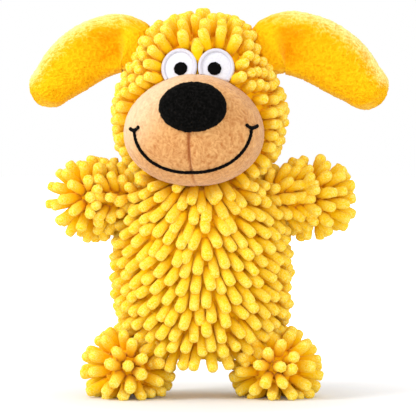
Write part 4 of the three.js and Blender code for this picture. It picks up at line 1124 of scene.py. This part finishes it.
def make_muzzle():
    """The muzzle's cover, stuffed, with a curly pile that shows, a sunken centre seam and a painted
    highlight where it faces up and to the dog's right, and the fibre in it."""
    base = muzzle_form(0.3, 26, 40)
    skin, normals = stuffed("muzzle_stuffing_form", base, HEAD, MUZZLE_SWELL, in_head(base.points, 3.0))
    p = skin.points
    # The centre seam bows to the dog's right below the nose.
    aside = p[:, 0] + 2.4 * np.maximum(0, 1 - ((p[:, 2] - 24) / 28) ** 2)
    flat = 1 - 0.8 * smoothstep(np.abs(p[:, 2] - MUZZLE_MIDDLE[2]) / MUZZLE_HALF[2], 0.7, 0.95)
    seam = flat * (np.exp(-(aside / 0.8) ** 2) * 1.3 + np.exp(-(aside / 5) ** 2) * 1.0)
    swirled = p + 2.5 * swirl(p, 8, 31)
    pile = 0.5 * curls(swirled, 1.7, 2) + 0.25 + 0.35 * noise(swirled * [1, 1, 0.4], 1.1, 6)
    pile = np.clip(pile - 0.9 * flat * np.exp(-(aside / 0.9) ** 2), 0, 1)
    # Painted highlight: paler where the muzzle faces up and to the dog's right.
    painted_highlight_share = 0.85 * smoothstep(0.55 * normals[:, 2] - 0.75 * normals[:, 0], 0.1, 0.9)
    p = p + normals * (0.5 * pile + 0.5 * noise(p, 22, 3) - seam)[:, None]
    made = padded(0.95, "muzzle_cover", Skin(p, skin.faces, pile=pile, pale=painted_highlight_share), HEAD, "head",
                  MUZZLE_PILE, ["muzzle_left_panel", "muzzle_right_panel"], "muzzle_pile")
    stuffing(0.9, "muzzle_fill", muzzle_form(MUZZLE_WALL, 20, 32), HEAD, "head", "muzzle_stuffing")
    return made


def nose_form(inset, rows, columns, back):
    """The nose's bag in its own frame, with a flat back."""
    grid = Bag((0, 0, 0), NOSE_HALF - inset, NOSE_SQUARENESS, 1).skin(polar(rows, columns))
    grid[..., 1] = np.minimum(grid[..., 1], back)
    return wound(grid)


def make_nose():
    """The nose's cover, stuffed, with a rough pile and a centre seam, and the fibre in it."""
    place = HEAD.then([0, -float(muzzle_front(0, NOSE_RISE)) + NOSE_SINK, NOSE_RISE],
                      turn_about(0, -math.radians(NOSE_TILT)))
    base = nose_form(0.8, 20, 32, 5.0)
    skin, normals = stuffed("nose_stuffing_form", base, place, NOSE_SWELL, base.points[:, 1] > 2)
    p = skin.points
    seam = 0.45 * np.exp(-(p[:, 0] / 0.9) ** 2)
    pile = (0.5 * curls(p, 1.1, 25) + 0.5 * curls(p, 1.7, 29)) ** 3
    nap = 0.5 * pile + 0.25 * noise(p, 1.1, 5) + 0.25 * noise(p, 2.3, 6) + 0.3 * noise(p, 9.0, 7)
    p = p + normals * (nap - seam)[:, None]
    padded(0.95, "nose_cover_pile", Skin(p, skin.faces, pile=pile), place, "head", NOSE_PILE, ["nose_cover"],
           "nose_pile")
    stuffing(0.9, "nose_fill", nose_form(NOSE_WALL, 16, 24, 2.0), place, "head", "nose_padding")


def make_eyes():
    """Each eye: a felt oval with a soft edge, cut off where the muzzle covers it, with its border and
    pupil."""
    turn = round_turn(96)
    x, z = EYE_HALF[0] * np.cos(turn), EYE_HALF[1] * np.sin(turn)
    reach = np.linspace(0, 1, 65)[1:]
    share, y = np.concatenate([np.array(EYE_FACE) - [0, EYE_THICKNESS], EYE_BACK]).T[..., None]
    for word, side in SIDES.items():
        place = eye_place(word)
        spokes = xyz(x[:, None] * reach, -EYE_THICKNESS / 2, z[:, None] * reach)
        buried = in_muzzle(HEAD.back(place(spokes)), -1.5)
        limit = np.where(buried.any(1), reach[np.argmax(buried, axis=1)], 1.0)
        felt = wound(xyz(x * limit * share, y, z * limit * share))
        piece(f"{word}_eye_felt", felt, place, "head", WHITE_FELT, [f"{word}_eye_white"], "white_felt")
        make_rim(word, place, limit)
        make_pupil(word, side, place)


def make_rim(word, place, limit):
    """The satin-stitched border: a half-round band along the eye's edge, ribbed by its stitches, up to the
    muzzle."""
    turn = round_turn(RIM_STITCHES * 4)
    clear = (limit > 0.999).astype(float)
    shown = np.interp(turn, round_turn(len(limit)), clear, period=2 * math.pi) > 0.5
    first = int(np.flatnonzero(shown & ~np.roll(shown, 1))[0])
    angle = np.roll(turn, -first)[np.roll(shown, -first)]
    rib = 1 + 0.13 * np.abs(np.sin(np.arange(len(angle)) * math.pi / 4))[:, None]
    half = np.array(EYE_HALF) - RIM_WIDTH / 2
    middle = xyz(half[0] * np.cos(angle), 0, half[1] * np.sin(angle))
    out = unit(xyz(np.cos(angle) / EYE_HALF[0], 0, np.sin(angle) / EYE_HALF[1]))
    around = round_turn(12)
    reach = (RIM_WIDTH / 2 + 0.15) * np.cos(around) * rib
    grid = middle[:, None] + out[:, None] * reach[..., None]
    grid[..., 1] = -EYE_THICKNESS - 0.35 - 1.15 * np.sin(around) * rib
    piece(f"{word}_eye_border", wound(grid, False, False), place, "head", WHITE_THREAD, [f"{word}_eye_rim"],
          "white_thread")


def make_pupil(word, side, place):
    """A felt disc with a soft edge that is never quite even."""
    turn = round_turn(64)
    edge = PUPIL_RADIUS * (1 + 0.02 * np.sin(turn * 9 + side) + 0.015 * np.sin(turn * 17 + 2))
    share, y = np.array(PUPIL_RINGS).T[..., None]
    grid = xyz(edge * share * np.cos(turn) + side * PUPIL_PLACE[0], -EYE_THICKNESS - 0.5 + y,
               edge * share * np.sin(turn) + PUPIL_PLACE[1])
    piece(f"{word}_pupil_felt", wound(grid), place, "head", BLACK_FELT, [f"{word}_pupil"], "black_felt")


def stitched(line, normals):
    """A line of stitches: a round thread along the line that swells in each stitch and thins where it dives
    into the cloth."""
    steps = lengths_along(line)
    count = int(steps[-1] / STITCH) * 8
    at = np.linspace(0, steps[-1], count)
    middle = sampled(at, steps, line)
    up = unit(sampled(at, steps, normals))
    way = unit(np.gradient(middle, axis=0))
    across = unit(np.cross(way, up))
    swell = THREAD * (0.86 + 0.2 * np.abs(np.sin(np.arange(count) * math.pi / 8)) ** 0.7)
    swell[[0, -1]] *= 0.5
    turn = round_turn(10)
    section = across[:, None] * np.cos(turn)[:, None] + 0.75 * up[:, None] * np.sin(turn)[:, None]
    return outward(wound(middle[:, None] + section * swell[:, None, None], False, False))


def laid_on(base, x, z):
    """Points and normals of a finished piece's face, seen from the front of the head."""
    tree = BVHTree.FromObject(base, bpy.context.evaluated_depsgraph_get())
    ahead = Vector(HEAD.turn @ [0, 1, 0])
    hits = [tree.ray_cast(Vector(HEAD([a, -200, b]) * MM), ahead) for a, b in zip(x, z)]
    points = HEAD.back(np.array([hit[0] for hit in hits]) / MM)
    return points, np.array([hit[1] for hit in hits]) @ HEAD.turn


def make_smile(muzzle):
    """The stitched smile on the muzzle: a wide curve, with a short curved tick across each end."""
    def stroke(x, z):
        """Stitches along a line that is given as it is seen from the front."""
        points, up = laid_on(muzzle, x + SMILE_ASIDE, z + SMILE_ROLL * x)
        return stitched(points + up * 0.45, up)

    t = np.sin(np.linspace(-math.pi / 2, math.pi / 2, 160))
    strokes = [stroke(SMILE_HALF_WIDTH * t, SMILE_CORNER - SMILE_DROP * np.sqrt(1 - np.abs(t) ** 2.2))]
    t = np.linspace(-1, 1, 24)
    reach = SMILE_TICK / 2
    rise = SMILE_CORNER + reach * (0.5 * t * t + 0.15 * t) - 0.4
    for side in SIDES.values():
        strokes.append(stroke(side * (SMILE_HALF_WIDTH - reach * t * 0.9), rise))
    piece("smile_thread", together(*strokes), HEAD, "head", BLACK_THREAD, ["smile_stitch"], "black_thread")


# Ears

def curve(points, count):
    """A smooth line through points, and how long it is up to each of its own points: Catmull-Rom cubics."""
    ends = np.concatenate([[2 * points[0] - points[1]], points, [2 * points[-1] - points[-2]]])
    at = np.linspace(0, len(points) - 1, count)
    step = np.minimum(at.astype(int), len(points) - 2)
    t = (at - step)[:, None]
    a, b, c, d = (ends[step + k] for k in range(4))
    square = 2 * a - 5 * b + 4 * c - d
    cube = 3 * b - a - 3 * c + d
    line = 0.5 * (2 * b + (c - a) * t + square * t ** 2 + cube * t ** 3)
    return line, lengths_along(line[:, :2])


def ear_place(word):
    """An ear's frame: x outwards from its root, y back, z up. The right one is a mirrored frame."""
    return HEAD.then(EAR_ROOTS[word], np.diag([SIDES[word], 1, 1]))


def ear_form(word, inset, rows, columns):
    """A flat sausage along the ear's middle line, with its widths, and a round tip past the line's end."""
    line, lengths = curve(EAR_LINE * [EAR_REACH[word], 1, EAR_FULLNESS[word]], 400)
    tip = line[-1, 2]
    share = np.linspace(0, 1, rows)
    along = (lengths[-1] + tip - inset) * (1 - (1 - share) ** 1.3) + inset * (1 - share)
    at = np.minimum(along, lengths[-1])
    way = unit(sampled(at, lengths, np.gradient(line[:, :2], axis=0)))
    past = along - at
    middle = sampled(at, lengths, line[:, :2]) + way * past[:, None]
    width = np.interp(at, lengths, line[:, 2]) - inset
    width = np.where(past > 0, np.sqrt(np.maximum(0, (tip - inset) ** 2 - past ** 2)), width)
    turn = round_turn(columns)
    across = width[:, None] * np.cos(turn)
    thick = np.minimum(width, EAR_HALF_THICKNESS - inset) * np.minimum(1, width / 14)
    grid = xyz(middle[:, :1] - way[:, 1:] * across, thick[:, None] * np.sin(turn),
               middle[:, 1:] + way[:, :1] * across)
    return wound(grid, lengthwise=along[:, None], crosswise=np.cos(turn))


def make_ears():
    """Each ear's cover, stuffed, with a hollow behind a ridge on its front and a combed pile, and the fibre
    in it. Painted shade darkens the hollow, and painted highlights lighten the ridge, the upper and outer
    sides and a little of the underside."""
    for word in SIDES:
        place = ear_place(word)
        bend = "head", *place(EAR_BEND)
        base = ear_form(word, 0.6, 34, 28)
        held = 1 - smoothstep(base.values["lengthwise"], 3, 16)
        skin, normals = stuffed(f"{word}_ear_stuffing_form", base, place, EAR_SWELL, held)
        p = skin.points
        along, across = skin.values["lengthwise"], skin.values["crosswise"]
        facing = smoothstep(-normals[:, 1], 0.1, 0.7)
        hollow = smoothstep(along, 18, 26) * (1 - smoothstep(along, 27, 58))
        hollow = hollow * (1 - smoothstep(np.abs(across + 0.12), 0.3, 0.8))
        ridge = np.exp(-((along - 17) / 4) ** 2) * (1 - smoothstep(np.abs(across + 0.1), 0.3, 0.9))
        up = 20 * across
        combed = xyz(0.55 * (0.8 * along + 0.6 * up), 0.8 * up - 0.6 * along, p[:, 1])
        pile = 0.55 * curls(combed, 1.7, 8) + 0.45 * curls(p, 0.95, 12)
        # Painted highlight: paler where the ear faces up and outwards, and a little on its underside.
        painted_highlight_share = smoothstep(normals[:, 2] + 0.7 * normals[:, 0] + 0.55 * (pile - 0.45), 0.38, 1.3)
        painted_highlight_share = np.maximum(painted_highlight_share, 0.18 * smoothstep(-normals[:, 2], 0.6, 0.95))
        swell = facing * (0.6 * ridge - EAR_HOLLOW * hollow) + 1.2 * (pile - 0.5) + 0.4 * noise(p, 8, 10)
        p = p + normals * swell[:, None] + (EAR_BACK * hollow)[:, None] * [0, 1, 0]
        # Painted shade darkens the pile in the hollow on the ear's front, and a painted highlight lightens
        # the ridge.
        tone = pile - 0.55 * hollow * facing + 0.15 * ridge * facing
        nodes = [f"{word}_ear_front_panel", f"{word}_ear_back_panel"]
        body = f"{word}_ear"
        skin = Skin(p, skin.faces, pile=tone, pale=painted_highlight_share)
        padded(0.85, f"{word}_ear_cover", skin, place, body, EAR_PILE, nodes, "ear_pile", bend)
        inner = ear_form(word, EAR_WALL, 24, 20)
        inner = Skin(inner.points + [0, EAR_BACK, 0], inner.faces)
        stuffing(0.7, f"{word}_ear_fill", inner, place, body, f"{word}_ear_padding", bend)


# Limbs

def limb(name, place, bend, cloth, fill, tufts):
    """An arm or a leg: its noodle cover and the fibre in it."""
    noodle_cover(f"{name}_noodle_cover", cloth, tufts, place, name, [f"{name}_cover"], bend)
    stuffing(0.9, f"{name}_fill", fill, place, name, f"{name}_stuffing", bend)


def arm_reach(along):
    """Half of an arm's thickness along it, without its round end: it swells from the shoulder to the paw."""
    return ARM_ROOT + (PAW_RADIUS - ARM_ROOT) * smoothstep(along, 0, ARM_LENGTH * 0.6)


def arm_profile(inset):
    """Half-profile of an arm along its axis: it thickens from the shoulder to a paw with a round end."""
    straight = ARM_LENGTH - PAW_RADIUS
    round_end = straight + PAW_RADIUS * np.sin(np.linspace(0, math.pi / 2, 30))[1:]
    along = np.concatenate([np.linspace(0, straight, 60), round_end])
    tip = np.maximum(0, (along - straight) / PAW_RADIUS)
    reach = np.maximum(0, arm_reach(along) * np.sqrt(np.maximum(0, 1 - tip ** 2)) - inset)
    return np.stack([reach, along - inset * tip], axis=1)


def arm_form(inset, side, shoulder):
    """The arm turned about its axis, with what would lie in the torso laid against the torso's skin."""
    profile = arm_profile(inset)[::3]
    profile = np.concatenate([[[0, profile[0, 1]]], profile, [[0, profile[-1, 1]]]])
    turn = round_turn(28)
    grid = xyz(side * profile[:, 1:], profile[:, :1] * np.cos(turn), profile[:, :1] * np.sin(turn))
    p = grid.reshape(-1, 3) + shoulder
    flank = np.sqrt(np.maximum(0, torso_round(p[:, 2]) - (p[:, 1] / TORSO_HALF[1]) ** 2))
    skin_x = TORSO_HALF[0] * flank + 0.5 + inset
    p[:, 0] = side * np.maximum(side * p[:, 0], skin_x)
    return wound((p - shoulder).reshape(grid.shape))


def make_arms():
    """Each arm, with a burst of noodles on its paw."""
    for word, side in SIDES.items():
        place = Place(SHOULDERS[word])
        shoulder = TORSO.back(SHOULDERS[word])
        bend = "torso", *place([[0, 0, 0], [side * ARM_BEND, 0, 0]])
        paw = np.array([side * (ARM_LENGTH - PAW_RADIUS), 0, 0])
        outwards = turn_about(2, side * math.radians(PAW_TURN[word])) @ turn_about(0, -math.radians(3))
        ways = ring_ways(PAW_RINGS, 31 + side) @ outwards.T
        ways = ways[side * ways[:, 0] > -0.4]
        roots = paw + ways * PAW_RADIUS
        # Between the paw and the shoulder they stand round the arm and lean outwards.
        places, counts = zip(*ARM_RINGS)
        shares = [(np.arange(n) + 0.5 * (k % 2)) / n for k, n in enumerate(counts)]
        turn = np.concatenate(shares) * 2 * math.pi
        ring = xyz(0, np.cos(turn), np.sin(turn))
        along = np.repeat(places, counts)[:, None]
        roots = np.concatenate([roots, along * [side, 0, 0] + ring * (arm_reach(along) - NOODLE_ROOT)])
        normals = np.concatenate([ways, ring])
        ways = np.concatenate([ways, ring + [0.3 * side, 0, 0]])
        sweep = PAW_SWEEP[word] * np.maximum(0, -normals[:, 1]) * smoothstep(np.abs(roots[:, 0]), 0, 22)
        ways = unit(ways + sweep[:, None] * [side, 0, 0])
        tufts = noodles(roots, normals, ways, PAW_NOODLE_LENGTH, 33 + side, PAW_NOODLE_RADIUS, lumpy=0.05)
        cloth, fill = (arm_form(inset, side, shoulder) for inset in (0, LINING))
        limb(f"{word}_arm", place, bend, cloth, fill, tufts)


def leg_form(inset, side):
    """A leg: rings that grow from a round end at the hip, draw in, and swell to the foot, along the line
    between them."""
    foot = FOOT_FROM_HIP * [side, 1, 1]
    turn = round_turn(32)
    a = np.linspace(math.pi / 2, -0.5, 9)[:, None]
    hip = (HIP_RADIUS - inset) * xyz(np.cos(a) * np.cos(turn), np.cos(a) * np.sin(turn), np.sin(a))
    a = np.linspace(math.pi * 0.34, -math.pi / 2, 16)[:, None]
    out = np.abs(np.cos(a)) ** (2 / FOOT_SQUARENESS)
    up = np.copysign(np.abs(np.sin(a)) ** (2 / FOOT_SQUARENESS), a)
    sole = foot + (FOOT_HALF - inset) * xyz(out * np.cos(turn), out * np.sin(turn), up)
    grid = np.concatenate([hip, sole])
    grid[..., 2] = np.maximum(grid[..., 2], -HIPS["left"][2] + 0.3 + inset)
    return wound(grid)


def make_legs():
    """Each leg, with a burst of noodles on its foot."""
    for word, side in SIDES.items():
        place = Place(HIPS[word])
        foot = FOOT_FROM_HIP * [side, 1, 1]
        bend = "torso", *place([[0, 0, HIP_RADIUS / 2], [0, 0, foot[2]]])
        ways = ring_ways(FOOT_RINGS, 41 + side) @ turn_about(0, -math.radians(7)).T
        foot_bag = Bag(foot, FOOT_HALF, FOOT_SQUARENESS, 2)
        roots = foot_bag.skin(ways)
        normals = foot_bag.normals(roots)
        # Noodles that would reach through the floor lie along it.
        floor = -HIPS[word][2]
        low = roots[:, 2] + ways[:, 2] * PAW_NOODLE_LENGTH
        ways[:, 2] += np.maximum(0, floor + FOOT_NOODLE_RADIUS - low) / PAW_NOODLE_LENGTH
        ways = unit(ways)
        tips = roots + ways * PAW_NOODLE_LENGTH
        free = TORSO_BAG.grown(3).depth(TORSO.back(place(tips))) > 1
        free &= (roots[:, 2] > floor + 4) & (np.linalg.norm(roots, axis=1) > HIP_RADIUS)
        length = PAW_NOODLE_LENGTH * (1 - 0.15 * smoothstep(ways[:, 2], 0.2, 0.7))
        stand = (value[free] for value in (roots, normals, ways, length))
        tufts = noodles(*stand, 43 + side, FOOT_NOODLE_RADIUS, lumpy=0.04)
        tufts.points[:, 2] = np.maximum(tufts.points[:, 2], floor)
        limb(f"{word}_leg", place, bend, leg_form(0, side), leg_form(LINING, side), tufts)


# Stage

VIEW_WIDTH = 0.288  # of the picture, at the toy
VIEW_MIDDLE = Vector((0.0038, 0.0, 0.1315))
VIEW_RISE = math.radians(2)
VIEW_DISTANCE = 2.2
FLOOR_REACH = 6.0
FLOOR_COLOUR = (0.845, 0.86, 0.885, 1)
FLOOR_FADE = (0.1, 0.5)  # from the toy, where the floor turns white
# Place, what it looks at, size and power of each lamp
LAMPS = {
    "key": ((-1.2, -0.65, 1.05), (0, 0, 0.15), 0.5, 12.5),
    "front": ((-0.4, -2.0, 0.4), (0, 0, 0.13), 0.5, 2.5),
    "fill": ((0.9, -1.0, 0.3), (0, 0, 0.1), 0.9, 3.5)}


def lamp(name, place, target, size, power):
    """A square soft box that looks at a point."""
    light = bpy.data.lights.new(name, "AREA")
    light.size = size
    light.energy = power
    made = bpy.data.objects.new(name, light)
    made.location = place
    made.rotation_euler = (Vector(target) - Vector(place)).to_track_quat("-Z", "Y").to_euler()
    bpy.context.scene.collection.objects.link(made)


def pale_floor():
    """A pale floor that fades into the white behind it and keeps the toy's shadow."""
    mesh = bpy.data.meshes.new("floor")
    corners = [(-1, -1, 0), (1, -1, 0), (1, 1, 0), (-1, 1, 0)]
    mesh.from_pydata([FLOOR_REACH * Vector(corner) for corner in corners], [], [(0, 1, 2, 3)])
    floor = bpy.data.objects.new("floor", mesh)
    bpy.context.scene.collection.objects.link(floor)
    made = bpy.data.materials.new("pale_floor")
    made.use_nodes = True
    tree = made.node_tree
    surface = tree.nodes["Principled BSDF"]
    surface.inputs["Base Color"].default_value = FLOOR_COLOUR
    surface.inputs["Roughness"].default_value = 0.9
    surface.inputs["Emission Color"].default_value = (1, 1, 1, 1)
    path = link_node(tree, "ShaderNodeLightPath")
    where = link_node(tree, "ShaderNodeTexCoord").outputs["Object"]
    far = link_node(tree, "ShaderNodeVectorMath", {0: where}, operation="LENGTH").outputs["Value"]
    lift = maths(tree, "MULTIPLY", path.outputs["Is Camera Ray"], mapped(tree, far, *FLOOR_FADE, 0.03, 1.0))
    tree.links.new(lift, surface.inputs["Emission Strength"])
    mesh.materials.append(made)


def make_stage():
    """The floor, a white surround, three lamps and the camera."""
    scene = bpy.context.scene
    scene.view_settings.view_transform = "Standard"
    pale_floor()
    world = bpy.data.worlds.new("studio")
    scene.world = world
    world.use_nodes = True
    tree = world.node_tree
    surface = tree.nodes["Background"]
    surface.inputs["Color"].default_value = (1, 1, 1, 1)
    path = link_node(tree, "ShaderNodeLightPath")
    seen = maths(tree, "MAXIMUM", path.outputs["Is Camera Ray"], path.outputs["Is Glossy Ray"])
    tree.links.new(mapped(tree, seen, 0.0, 1.0, 0.95, 1.0), surface.inputs["Strength"])
    for name, values in LAMPS.items():
        lamp(name, *values)
    lens = bpy.data.cameras.new("camera")
    lens.sensor_width = 36.0
    lens.lens = lens.sensor_width * VIEW_DISTANCE / VIEW_WIDTH
    camera = bpy.data.objects.new("camera", lens)
    back = Vector((0, -math.cos(VIEW_RISE), math.sin(VIEW_RISE)))
    camera.location = VIEW_MIDDLE + back * VIEW_DISTANCE
    camera.rotation_euler = (-back).to_track_quat("-Z", "Y").to_euler()
    scene.collection.objects.link(camera)
    scene.camera = camera


make_stage()
make_torso()
make_squeaker()
make_head()
make_nose()
make_eyes()
make_smile(make_muzzle())
make_ears()
make_arms()
make_legs()

bpy.context.view_layer.update()
